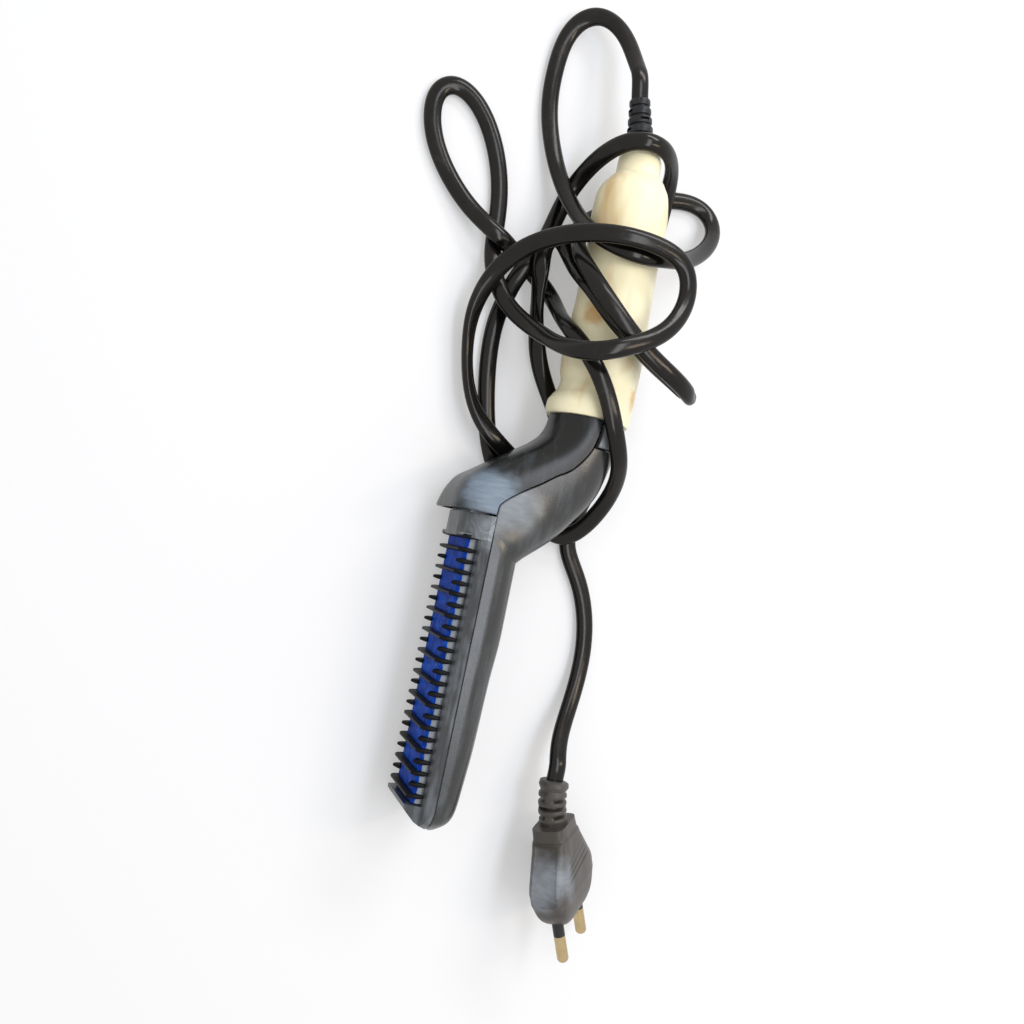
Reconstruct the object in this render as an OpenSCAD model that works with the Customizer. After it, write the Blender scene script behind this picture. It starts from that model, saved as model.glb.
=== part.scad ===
// Heated straightening comb with a crank neck, a turned handle and a flat mains lead.
// The tool lies on its side: X points from the teeth to the back, Y along the handle,
// Z up from the table. The origin is the middle of the rectangle that the tool covers.

/* [Comb head] */
// Width of the head across the fins, which is also the width of the whole tool
head_w = 35; // [34.6:0.1:36]
// Distance between two fins
fin_pitch = 7.2; // [7:0.1:7.6]
// Number of free-standing fins
fin_count = 12; // [8:1:12]
// Distance from the neck end of the comb to the first fin
fin_lead = 5; // [4.6:0.1:5.6]
// Width of a fin across the comb
fin_w = 24.8; // [24.4:0.1:25.2]
// Height of a fin above the rails
fin_h = 5.5; // [5.2:0.1:6.4]
// Thickness of a fin at its root
fin_root_t = 1.6; // [1.4:0.1:1.8]
// Thickness of a fin at its tip
fin_tip_t = 0.8; // [0.6:0.1:1]
// How far a short tooth reaches in over the plate
tooth_reach = 3.8; // [3:0.1:4.2]
// Depth of the rails, from the fin roots to the parting line
rail_d = 3.1; // [2.9:0.1:3.4]
// Length of the rounded nose beyond the end fin
nose_len = 7.6; // [7.3:0.1:8.6]
// Depth of the back shell behind the parting line
back_d = 12.8; // [12.4:0.1:13.4]

/* [Heater] */
// Width of the heater plate between the rails
plate_w = 22.2; // [21.6:0.1:22.4]
// Height of the plate's face above the fin roots
plate_proud = 3.1; // [2.6:0.1:3.2]
// Gap round the plate
plate_gap = 0.3; // [0.25:0.05:0.4]
// Thickness of the plate's seating flange
flange_t = 1.2; // [1:0.1:1.4]
// Length of one heating element
ptc_len = 22; // [18:1:23]
// Thickness of one heating element
ptc_t = 2; // [1.6:0.1:2.4]

/* [Handle] */
// Distance from the fin roots to the middle of the handle
handle_x = 33.6; // [33:0.1:34.2]
// Radius of the straight part of the handle
handle_r = 13.3; // [13:0.1:13.8]
// Length of the cream sleeve
sleeve_len = 95.2; // [90:0.2:98]
// Radius of the bore through the sleeve
sleeve_bore = 10.4; // [10.3:0.1:10.8]
// Radius of the spigot that carries the sleeve
spigot_r = 11.6; // [11.2:0.1:11.8]
// Length of the spigot
spigot_len = 8; // [6:0.5:8.5]

/* [Neck] */
// Wall of the shells
shell_wall = 1.8; // [1.5:0.1:2]
// Width of the parting gap between the shells
seam_gap = 0.3; // [0.2:0.05:0.4]
// Gap between the head block and the front shell
block_gap = 0.7; // [0.5:0.1:0.9]

/* [Power button] */
// Length of the button along the handle
button_len = 8.1; // [7.6:0.1:8.4]
// How far the button travels
button_travel = 0.8; // [0.6:0.1:0.8]
// Gap between the button and the shell
button_gap = 0.4; // [0.35:0.05:0.5]
// Radius of the stem that presses the switch
stem_r = 2.2; // [1.8:0.1:2.5]

/* [Electronics] */
// Width of the circuit board
board_w = 17.6; // [17:0.1:17.8]
// Thickness of the circuit board
board_t = 1.2; // [1:0.1:1.6]
// Side of the square switch
switch_w = 6; // [5.5:0.1:6.5]
// Height of the switch body above the board
switch_h = 3.5; // [3.2:0.1:3.8]

/* [Swivel] */
// Radius of the swivel ball
ball_r = 5.4; // [5.2:0.1:5.5]
// Gap between the ball and its socket
ball_gap = 0.3; // [0.25:0.05:0.35]
// Radius of the socket
socket_r = 6.5; // [6.4:0.05:6.8]
// Angle between the cord guard and the handle
guard_tilt = 13; // [11:0.5:14]
// Distance from the middle of the ball to the end of the guard
guard_len = 22; // [20:0.5:24]

/* [Cord and plug] */
// Width of the flat lead
cord_w = 6.2; // [5.8:0.1:6.3]
// Thickness of the flat lead
cord_t = 3.7; // [3.4:0.1:3.8]
// Width of the plug body
plug_w = 35; // [34:0.5:36]
// Thickness of the plug body
plug_t = 13.7; // [13.3:0.1:14]
// Length of the plug body
plug_len = 26.4; // [25:0.2:28]
// Distance between the two pins
pin_spacing = 18.6; // [18:0.1:19]
// Radius of a pin
pin_r = 2; // [1.95:0.05:2.05]
// Free length of a pin
pin_len = 19; // [18.5:0.1:19.5]
// Length of the sleeve on a pin
pin_sleeve_len = 9.6; // [9:0.1:10]
// Radius of the plug's cord guard
plug_guard_r = 5.15; // [4.8:0.05:5.4]

/* [Hidden] */
$fn = 48;

// Half of the width: the symmetry plane lies this far above the table
mid_z = head_w / 2;
// Distances along the comb
fin_last = fin_lead + (fin_count - 1) * fin_pitch;
end_fin = fin_last + fin_pitch / 2;
nose_end = end_fin + nose_len;
half_root = fin_root_t / 2;
// Half widths across the comb
leg_out = fin_w / 2;
leg_in = plate_w / 2 + plate_gap;
flange_half = leg_out - 0.1;
// Depths at the comb: the plate's shoulder, its back and the parting line
shoulder_x = 0.9;
plate_back = shoulder_x + flange_t;
parting_x = rail_d + 0.1;
back_x = parting_x + back_d;
// Distances along the neck and the handle
block_len = 7.2;
shell_start = block_len + block_gap;
collar_y = 46.6;
collar_t = 0.7;
sleeve_start = collar_y + 0.2;
sleeve_end = sleeve_start + sleeve_len;
button_top = collar_y - collar_t - 0.3;
button_bottom = button_top - button_len;
window_x = 34.9;
// The board in the handle
board_x = handle_x - 3;
board_face = board_x + board_t;
board_start = 31;
board_end = sleeve_end - 30;
switch_y = (button_top + button_bottom) / 2;
plunger_end = board_face + switch_h + 1.9;
stem_end = plunger_end + button_travel + 0.1;
// The ball and the guard of the lead
ball_y = sleeve_end - 2.5;
ball_x = handle_x;
guard_dir = [-sin(guard_tilt), cos(guard_tilt), 0];
guard_end = [ball_x, ball_y, 0] + guard_len * guard_dir;
// The middle of the rectangle that the tool covers, without its lead
box_x0 = -9.85;
box_x1 = handle_x + 15.1;
origin_x = (box_x0 + box_x1) / 2;
origin_y = (ball_y + 6 * cos(guard_tilt) + 3.9 * sin(guard_tilt) - nose_end) / 2;
// The plug lies on one edge: its heading and its lean
plug_heading = -68.3;
plug_lean = 133;
plug_round = 5;
plug_q = plug_round / (plug_round - 1);
plug_sink = pow(abs(plug_w / 2 * sin(plug_lean)), plug_q) + pow(abs(plug_t / 2 * cos(plug_lean)), plug_q);
plug_z = pow(plug_sink, 1 / plug_q) + 0.05 - mid_z;
plug_face = [62.5, -115.6, plug_z];
plug_dir = [cos(plug_heading), sin(plug_heading), 0];
plug_back = plug_face - plug_len * plug_dir;
// The plug's cord guard bends to one side: radius and angle of the bend, and where it ends
guard_bend = 39.6;
guard_sweep = 21.2;
guard_turn = plug_heading + 270;
guard_out = [cos(guard_turn - guard_sweep), sin(guard_turn - guard_sweep), 0];
plug_guard_end = plug_back + guard_bend * (guard_out - [cos(guard_turn), sin(guard_turn), 0]);
plug_guard_dir = [-guard_out[1], guard_out[0], 0];

// Shapes and lists used by several pieces

module place() translate([-origin_x, -origin_y, mid_z]) children();

// A plate seen along Z, from z0 to z1
module plate_z(z0, z1) translate([0, 0, z0]) linear_extrude(height = z1 - z0) children();

// A shape drawn as (x, z) and drawn out along Y, from y0 to y1
module plate_y(y0, y1)
  translate([0, y1, 0]) rotate([90, 0, 0]) linear_extrude(height = y1 - y0) children();

// A shape drawn as (y, z) and drawn out along X, from x0 to x1
module plate_x(x0, x1)
  translate([x0, 0, 0]) rotate([90, 0, 90]) linear_extrude(height = x1 - x0) children();

// A round bar along Y
module bar_y(r, y0, y1) translate([0, y0, 0]) rotate([-90, 0, 0]) cylinder(r = r, h = y1 - y0);

// Half a profile of (x, z) points, completed by its mirror image
module both_sides(half)
  polygon(concat(half, [for (i = [len(half) - 1 : -1 : 0]) [half[i][0], -half[i][1]]]));

// Sine and cosine with squared-off corners: power 2 is round, 4 is nearly square
function sq_cos(t, power) = sign(cos(t)) * pow(abs(cos(t)), 2 / power);
function sq_sin(t, power) = sign(sin(t)) * pow(abs(sin(t)), 2 / power);

// Sum of a list of vectors
function total(list) = [for (v = list) 1] * list;

// Rings turned so that they run the same way round as seen along the loft
function turned(rings) =
  let (
    r = rings[0],
    n = len(r),
    c = total(r) / n,
    area = total([for (i = [0 : n - 1]) cross(r[i] - c, r[(i + 1) % n] - c)]),
    way = total(rings[1]) / n - c
  )
  area * way < 0 ? rings : [for (q = rings) [for (i = [n - 1 : -1 : 0]) q[i]]];

// A closed body through rings that all have the same number of points
module loft(rings) {
  n = len(rings[0]);
  m = len(rings);
  polyhedron(
    points = [for (r = turned(rings)) each r],
    faces = concat(
      [[for (i = [n - 1 : -1 : 0]) i]],
      [for (k = [0 : m - 2], i = [0 : n - 1]) each [
        [k * n + i, k * n + (i + 1) % n, (k + 1) * n + (i + 1) % n],
        [k * n + i, (k + 1) * n + (i + 1) % n, (k + 1) * n + i]
      ]],
      [[for (i = [0 : n - 1]) (m - 1) * n + i]]
    )
  );
}

// A line of even width through points
module stroke(points, w) for (k = [0 : len(points) - 2]) hull() {
  translate(points[k]) circle(d = w, $fn = 16);
  translate(points[k + 1]) circle(d = w, $fn = 16);
}

// Outside of a rail: depth and distance from the middle
rail_line = [[0, 13.2], [1.2, 15.8], [2.3, mid_z - 0.3], [rail_d, mid_z]];

// One fin or tooth: its outline across the comb, wedge-shaped along the comb, with keen ends
module blade(y) {
  intersection() {
    plate_y(y - fin_root_t, y + fin_root_t) children();
    plate_z(-leg_out - 1, leg_out + 1) polygon([
      [0.2, y - half_root], [0, y - half_root], [-fin_h, y - fin_tip_t / 2],
      [-fin_h, y + fin_tip_t / 2], [0, y + half_root], [0.2, y + half_root]
    ]);
    plate_x(-fin_h - 1, 1) polygon([
      [y - half_root, -leg_out + 2.4], [y - 0.3, -leg_out], [y + 0.3, -leg_out],
      [y + half_root, -leg_out + 2.4], [y + half_root, leg_out - 2.4],
      [y + 0.3, leg_out], [y - 0.3, leg_out], [y - half_root, leg_out - 2.4]
    ]);
  }
}

module comb_frame() {
  color("#17181b") place() {
    // the two rails, with a step behind which the plate's flange sits
    for (s = [1, -1]) plate_y(-end_fin - 0.5, 2)
      polygon([
        for (p = concat([[0, leg_in]], rail_line, [
          [rail_d, flange_half + plate_gap], [shoulder_x, flange_half + plate_gap], [shoulder_x, leg_in]
        ])) [p[0], s * p[1]]
      ]);
    // the block at the neck end and the tongue that plugs into the front shell
    plate_y(-half_root, block_len)
      both_sides([[-5.9, 5.9], [-4.2, 9.5], [-1.2, 13.8], [1.8, mid_z - 0.3], [rail_d, mid_z]]);
    plate_y(block_len - 0.1, block_len + 5.8) both_sides([[-4.6, 8], [-3.6, 10], [rail_d, 10]]);
    // the fin that ends the block
    blade(0) polygon([
      [0.2, leg_out], [-4, leg_out - 0.3], [-fin_h, leg_out - 0.9],
      [-fin_h, -leg_out + 0.9], [-4, -leg_out + 0.3], [0.2, -leg_out]
    ]);
    // the nose: sloped in front, rounded at its corners
    intersection() {
      plate_z(-mid_z, mid_z) polygon([
        [rail_d, -end_fin + half_root], [-fin_h, -end_fin + half_root],
        [-fin_h, -end_fin - fin_tip_t / 2], [-4, -end_fin - 0.26 * nose_len],
        [-1.6, -end_fin - 0.55 * nose_len],
        [2, -end_fin - 0.79 * nose_len], [rail_d, -end_fin - 0.855 * nose_len]
      ]);
      plate_y(-nose_end, 0) both_sides(concat([[-fin_h, leg_out - 0.6], [-3.5, leg_out]], rail_line));
      plate_x(-fin_h - 1, rail_d + 1) both_sides([
        [-end_fin + half_root, mid_z], [-nose_end + 7.2, mid_z - 0.4], [-nose_end + 4.7, mid_z - 1.7],
        [-nose_end + 3.2, mid_z - 3.1], [-nose_end + 1.9, mid_z - 4.9], [-nose_end, mid_z - 8]
      ]);
    }
  }
}

module comb_fins() {
  bridge = -plate_proud - plate_gap;
  color("#17181b") place()
    for (k = [0 : fin_count - 1]) blade(-fin_lead - k * fin_pitch)
      polygon([
        [0, leg_in], [0, leg_out], [-4, leg_out - 0.3], [-fin_h, leg_out - 0.9],
        [-fin_h, -leg_out + 0.9], [-4, -leg_out + 0.3], [0, -leg_out], [0, -leg_in],
        [bridge, -leg_in], [bridge, leg_in]
      ]);
}

// Teeth of one side, half way between the fins
module short_teeth(s) {
  bridge = -plate_proud - plate_gap;
  place() for (k = [0 : fin_count - 2]) blade(-fin_lead - (k + 0.5) * fin_pitch)
    polygon([
      for (p = [
        [0, leg_in], [0, leg_out], [-3.5, leg_out - 0.25], [-fin_h + 0.5, leg_out - 0.7],
        [-fin_h + 0.3, leg_out - 1.1], [bridge, leg_out - tooth_reach], [bridge, leg_in]
      ]) [p[0], s * p[1]]
    ]);
}

module short_teeth_upper() color("#17181b") short_teeth(1);

module short_teeth_lower() color("#17181b") short_teeth(-1);

// The heater: the plate and the stack of films, strips and elements behind it
plate_start = -half_root - plate_gap;
plate_end = -end_fin + half_root + plate_gap;
film_t = 0.2;
strip_t = 0.5;
film_x = [plate_back, plate_back + 2 * strip_t + ptc_t + film_t];
strip_x = [plate_back + film_t, plate_back + film_t + strip_t + ptc_t];
ptc_x = strip_x[0] + strip_t;
stack_back = film_x[1] + film_t;
spring_top = stack_back + 3.6;
ptc_row = 3 * ptc_len + 2;
stack_start = (plate_start + plate_end) / 2 + ptc_row / 2;

module heater_plate() {
  color("#1f3f8f") place() plate_y(plate_end, plate_start)
    both_sides([
      [-plate_proud, plate_w / 2 - 0.8], [-plate_proud + 1.8, plate_w / 2],
      [shoulder_x, plate_w / 2], [shoulder_x, flange_half], [plate_back, flange_half]
    ]);
}

module insulating_films() {
  color("#b5762f") place() for (x = film_x)
    translate([x, stack_start - ptc_row - 2, -8.5]) cube([film_t, ptc_row + 4, 17]);
}

module contact_strips() {
  color("#c9c5b8") place() for (k = [0, 1]) {
    translate([strip_x[k], stack_start - ptc_row, -7]) cube([strip_t, ptc_row, 14]);
    // the tab that takes the wire
    translate([strip_x[k], stack_start - 1, k == 0 ? -5 : 1]) cube([strip_t, 5, 4]);
  }
}

module ptc_heaters() {
  color("#5d5a55") place() for (k = [0 : 2])
    translate([ptc_x, stack_start - ptc_len - k * (ptc_len + 1), -6.5]) cube([ptc_t, ptc_len, 13]);
}

// A bent leaf that presses the stack against the plate
module heater_spring() {
  step = ptc_row / 4;
  line = [for (k = [0 : 4]) [k % 2 == 0 ? stack_back : spring_top - 0.4, stack_start - k * step]];
  color("#a9adb0") place() plate_z(-5, 5)
    polygon(concat(line, [for (k = [4 : -1 : 0]) line[k] + [0.4, 0]]));
}

module thermal_fuse() {
  color("#d8d2c4") place() translate([stack_back + 1.6, stack_start - ptc_row / 2, 7])
    rotate([90, 0, 0]) {
      cylinder(r = 1.5, h = 9, center = true);
      cylinder(r = 0.4, h = 15, center = true);
    }
}

// A thin round wire through points, with eight sides
module wire(points, r) {
  n = len(points);
  loft([
    for (i = [0 : n - 1])
      let (
        d = points[min(i + 1, n - 1)] - points[max(i - 1, 0)],
        t = d / norm(d),
        a = cross(t, [0, 0, 1]) / norm(cross(t, [0, 0, 1])),
        b = cross(t, a)
      )
      [for (k = [0 : 7]) points[i] + r * (cos(45 * k) * a + sin(45 * k) * b)]
  ]);
}

module heater_wires() {
  color("#b03a2e") place() for (k = [0, 1]) {
    x = k == 0 ? strip_x[0] + 0.6 : strip_x[1] + 0.3;
    z = k == 0 ? -3 : 3;
    wire([
      [x, stack_start + 4.4, z], [x + 0.7, stack_start + 6, z], [6.5, -1, z], [10, 11, z],
      [19.6, 19.5, z], [28, 27, z], [board_x + board_t / 2, board_start - 0.9, z]
    ], 0.7);
  }
}

// Stations of the neck: front point, back point, half width, squareness
neck = [
  [[-9.6, 2], [15.4, -6.5], mid_z - 0.3, 3.6],
  [[-9.9, 7.5], [back_x + 1.8, -4.3], mid_z - 0.3, 3.4],
  [[-9.4, 12], [back_x + 6.2, -0.9], mid_z - 0.9, 3.1],
  [[-6.8, 18.3], [back_x + 11, 3], mid_z - 2.3, 2.8],
  [[-1.5, 22.7], [back_x + 15, 7], mid_z - 3.7, 2.6],
  [[4.5, 27.2], [handle_x + 1.2, 11.8], handle_r + 0.1, 2.5],
  [[10.5, 31.6], [handle_x + 5.1, 17], handle_r + 0.1, 2.4],
  [[16, 35.8], [handle_x + 7.9, 22.5], handle_r + 0.1, 2.3],
  [[handle_x - handle_r - 1.3, 39.2], [handle_x + 10, 30], handle_r, 2.2],
  [[handle_x - handle_r, 42.9], [handle_x + 11.9, 39], handle_r - 0.1, 2.1],
  [[handle_x - handle_r + 0.4, 47.5], [handle_x + handle_r + 0.1, 47.5], handle_r - 0.1, 2]
];

// One ring of the neck, set in from the outside
function neck_ring(s, inset) =
  let (
    l = [s[0][0], s[0][1], 0],
    r = [s[1][0], s[1][1], 0],
    c = (l + r) / 2,
    e = (r - l) / 2,
    k = (norm(e) - inset) / norm(e)
  )
  [for (i = [0 : 27]) let (t = 360 * i / 28)
    c + e * k * sq_cos(t, s[3]) + [0, 0, (s[2] - inset) * sq_sin(t, s[3])]];

module neck_body(inset, from = 0) loft([for (i = [from : len(neck) - 1]) neck_ring(neck[i], inset)]);

// The parting line between the shells, seen from the side
seam = [
  [parting_x, 6.5], [3.5, 8.4], [3.9, 10.8], [5.5, 12.7], [8.8, 15.3], [13.1, 18.3], [17.4, 21.2],
  [21.7, 24.5], [26.2, 27.4], [30.2, 32.1], [32.8, 37], [34.1, 44], [34.2, 50]
];

// Stations of the head's back: place, straight front side, back depth, half width; the front
// side lies ahead of the parting line, where all is cut off
cut_x = parting_x - 0.8;
back_line = [
  [9.3, cut_x, back_x - 4.6, mid_z - 1.5],
  [3, cut_x, back_x - 1.4, mid_z - 0.6],
  [-0.5, cut_x, back_x, mid_z - 0.05],
  [-4.3, cut_x, back_x, mid_z + 0.3],
  [-30, cut_x, back_x + 0.2, mid_z + 0.3],
  [-45, cut_x, back_x - 0.7, mid_z + 0.3],
  [-nose_end + 28, cut_x, back_x - 1.4, mid_z + 0.3],
  [-nose_end + 14, cut_x, back_x - 2.5, mid_z + 0.3],
  [-nose_end + 9.2, cut_x, back_x - 2.9, mid_z - 0.1],
  [-nose_end + 6.7, cut_x, back_x - 3.3, mid_z - 0.7],
  [-nose_end + 4.7, cut_x, back_x - 4, mid_z - 1.7],
  [-nose_end + 3.2, cut_x, back_x - 5, mid_z - 3.1],
  [-nose_end + 1.9, parting_x - 0.3, back_x - 6.6, mid_z - 4.9],
  [-nose_end + 1, parting_x + 0.8, back_x - 8.1, mid_z - 6.6],
  [-nose_end + 0.4, parting_x + 1.5, back_x - 9.2, mid_z - 8.2],
  [-nose_end, parting_x + 2.2, back_x - 10, mid_z - 9.6]
];

// One D-shaped ring of the head's back, set in from the outside
function back_ring(s, inset) =
  let (flank = mid_z - inset)
  [for (i = [0 : 18]) let (t = 10 * i, z = (s[3] - inset) * sq_cos(t, 3))
    [s[1] + (s[2] - inset - s[1]) * sq_sin(t, 3), s[0], max(-flank, min(flank, z))]];

// What lies in front of the parting line
module front_side() polygon(concat([[-40, -120], [parting_x, -120]], seam, [[-40, 50]]));

module back_shell() {
  ribs = [stack_start - ptc_row / 4, stack_start - 3 * ptc_row / 4];
  color("#2b2c2f") place() {
    difference() {
      union() {
        loft([for (i = [len(back_line) - 1 : -1 : 0]) back_ring(back_line[i], 0)]);
        neck_body(0);
      }
      // the hollow of the head and of the neck
      loft([
        for (i = [9 : -1 : 2]) back_ring(back_line[i] + [i == 9 ? 1 : 0, -0.5, 0, 0], shell_wall)
      ]);
      neck_body(shell_wall);
      // the front shell's side of the parting line
      plate_z(-30, 30) front_side();
      plate_z(-30, 30) stroke(seam, seam_gap);
      // the window of the power button
      translate([window_x, button_bottom - button_gap, -30]) cube([30, 30, 60]);
      // the collar's place
      translate([0, button_top, -30]) cube([60, 10, 60]);
    }
    // the ribs that back the heater spring
    for (y = ribs) translate([spring_top, y - 0.8, -6])
      cube([back_x - shell_wall + 0.05 - spring_top, 1.6, 12]);
  }
}

module front_shell() {
  color("#141518") place() {
    difference() {
      intersection() {
        neck_body(0);
        plate_z(-30, 30) front_side();
      }
      neck_body(shell_wall);
      plate_z(-30, 30) stroke(seam, seam_gap);
      translate([-40, -20, -30]) cube([80, 20 + shell_start, 60]);
      translate([-40, collar_y - 0.3, -30]) cube([100, 10, 60]);
    }
    // the collar and the spigot that carries the handle
    translate([handle_x, 0, 0]) difference() {
      union() {
        bar_y(handle_r - 0.4, collar_y - collar_t, collar_y);
        bar_y(spigot_r, collar_y - 0.1, collar_y + spigot_len);
      }
      bar_y(spigot_r - 2, 30, collar_y + spigot_len + 1);
    }
  }
}

// Outline of the sleeve: place from its lower end, or from its upper end where negative,
// reach to the front and reach to the back
sleeve_line = [
  [0, 14.4, 14.4], [1.7, 15.1, 14.9], [4.2, 15, 14.8], [6.7, 13.8, 14.8], [9.2, 12.1, 14.8],
  [12.2, 11.6, 14.8], [16.2, 12.7, 15], [21.2, 13.1, 15.1], [31.2, 12.8, 14.6], [41.2, 12.4, 14.1],
  [-36, 12.2, 13.6], [-23, 13.1, 13.6], [-17, 12.9, 12.8], [-13.4, 11.9, 12], [-11, 10.4, 10.8],
  [-8.8, 8.6, 9.4], [-8, 7.8, 7.6], [-2, 7.7, 7.4], [-0.4, 7, 6.6], [0, 6.9, 6.6]
];

function sleeve_ring(i) =
  let (
    s = sleeve_line[i],
    y = i < 10 ? sleeve_start + s[0] : sleeve_end + s[0],
    c = handle_x + (s[2] - s[1]) / 2,
    a = (s[1] + s[2]) / 2,
    b = min(a, handle_r)
  )
  [for (k = [0 : 35]) [c + a * cos(10 * k), y, b * sin(10 * k)]];

module handle_sleeve() {
  color("#efe6bd") place() difference() {
    loft([for (i = [len(sleeve_line) - 1 : -1 : 0]) sleeve_ring(i)]);
    translate([handle_x, 0, 0]) {
      bar_y(spigot_r + 0.1, sleeve_start - 1, collar_y + spigot_len + 0.4);
      bar_y(sleeve_bore, sleeve_start, sleeve_end - 20);
      translate([0, sleeve_end - 20.01, 0]) rotate([-90, 0, 0])
        cylinder(r1 = sleeve_bore, r2 = socket_r, h = 6);
      bar_y(socket_r + 0.1, sleeve_end - 15, sleeve_end + 1);
    }
  }
}

// Half of a tube inside the handle, on which the circuit board rests
module board_carrier() {
  color("#3a3d42") place() intersection() {
    translate([handle_x, 0, 0]) difference() {
      bar_y(sleeve_bore - 0.3, collar_y + spigot_len + 0.8, sleeve_end - 22);
      bar_y(sleeve_bore - 1.7, collar_y + spigot_len, sleeve_end - 24);
    }
    translate([0, 0, -20]) cube([board_x, 200, 40]);
  }
}

module circuit_board() {
  color("#2f6b3c") place() translate([board_x, board_start, -board_w / 2])
    cube([board_t, board_end - board_start, board_w]);
}

module board_parts() {
  y = collar_y + spigot_len;
  color("#4a4d55") place() {
    translate([board_face + 5, y + 8, 0]) bar_y(5, 0, 14);
    translate([board_face, y + 28, -5]) cube([6, 13, 10]);
    translate([board_face, y + 3, -4]) cube([1.4, 2.4, 8]);
  }
}

module switch_body() {
  color("#26272a") place() {
    translate([board_face, switch_y - switch_w / 2, -switch_w / 2]) cube([switch_h, switch_w, switch_w]);
    translate([board_face + switch_h - 0.1, switch_y, 0]) rotate([0, 90, 0])
      cylinder(r = 1.7, h = plunger_end - board_face - switch_h + 0.1);
  }
}

// The neck near its upper end, each stretch drawn tight
module neck_top(inset) for (k = [7 : len(neck) - 2])
  hull() loft([neck_ring(neck[k], inset), neck_ring(neck[k + 1], inset)]);

// A key that wraps round the back of the neck, with a lip inside the window's lower edge
module power_button() {
  lip = shell_wall + button_gap;
  color("#1c1d20") place() {
    difference() {
      intersection() {
        neck_top(0);
        translate([window_x + button_travel + 0.35, button_bottom, -30]) cube([30, button_len, 60]);
      }
      neck_top(lip + 1);
    }
    difference() {
      intersection() {
        neck_top(lip);
        translate([window_x + 4, button_bottom - 1.9, -30]) cube([30, 2.4, 60]);
      }
      neck_top(lip + 1);
    }
    translate([stem_end, switch_y, 0]) rotate([0, 90, 0])
      cylinder(r = stem_r, h = handle_x + handle_r - 2.2 - stem_end);
  }
}

module mains_wires() {
  color("#6a4a2c") place() for (z = [-1.3, 1.3])
    wire([
      [board_x + board_t / 2, board_end + 0.3, z], [board_x + 1.5, board_end + 4, z],
      [handle_x, sleeve_end - 17, z], [handle_x, ball_y - ball_r - ball_gap, z]
    ], 0.8);
}

// The seat of the ball at the end of the handle
module swivel_socket() {
  color("#1a1b1d") place() translate([ball_x, ball_y, 0]) rotate([-90, 0, 0])
    rotate_extrude() difference() {
      translate([2.6, sleeve_end - 13.5 - ball_y]) square([socket_r - 2.6, 13.5]);
      circle(r = ball_r + ball_gap);
    }
}

// Turned shapes along the guard, drawn as (radius, distance from the ball)
module along_guard()
  translate([ball_x, ball_y, 0]) rotate([0, 0, guard_tilt]) rotate([-90, 0, 0]) children();

module swivel_ball() {
  color("#1a1b1d") place() along_guard() difference() {
    union() {
      sphere(r = ball_r);
      cylinder(r = 3.9, h = 6);
    }
    translate([0, 0, -6]) cylinder(r = 2, h = 13);
  }
}

module cord_guard() {
  bead = 3.2;
  beads = floor((guard_len - 8.2) / bead);
  first = guard_len + 0.7 - beads * bead;
  color("#17181a") place() along_guard() difference() {
    rotate_extrude() polygon(concat(
      [[0, 6], [4.5, 6], [4.7, 6.3], [4.7, 7.1], [4.4, 7.5], [3.5, 7.8], [3.5, first]],
      [for (k = [0 : beads - 1]) let (s = first + k * bead, r = 4.5 - 1.1 * k / beads) each [
        [r - 0.2, s + 0.15], [r, s + 0.6], [r, s + bead - 1.3], [r - 0.25, s + bead - 0.85],
        [r - 1, s + bead - 0.7], [r - 1, min(s + bead, guard_len)]
      ]],
      [[0, guard_len]]
    ));
    for (k = [0 : beads - 2]) rotate([0, 0, 90 * (k % 2)])
      for (s = [1, -1]) translate([s * 3.7 - 1.5, -1.6, first + k * bead + 1]) cube([3, 3.2, 0.8]);
  }
}

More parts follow.
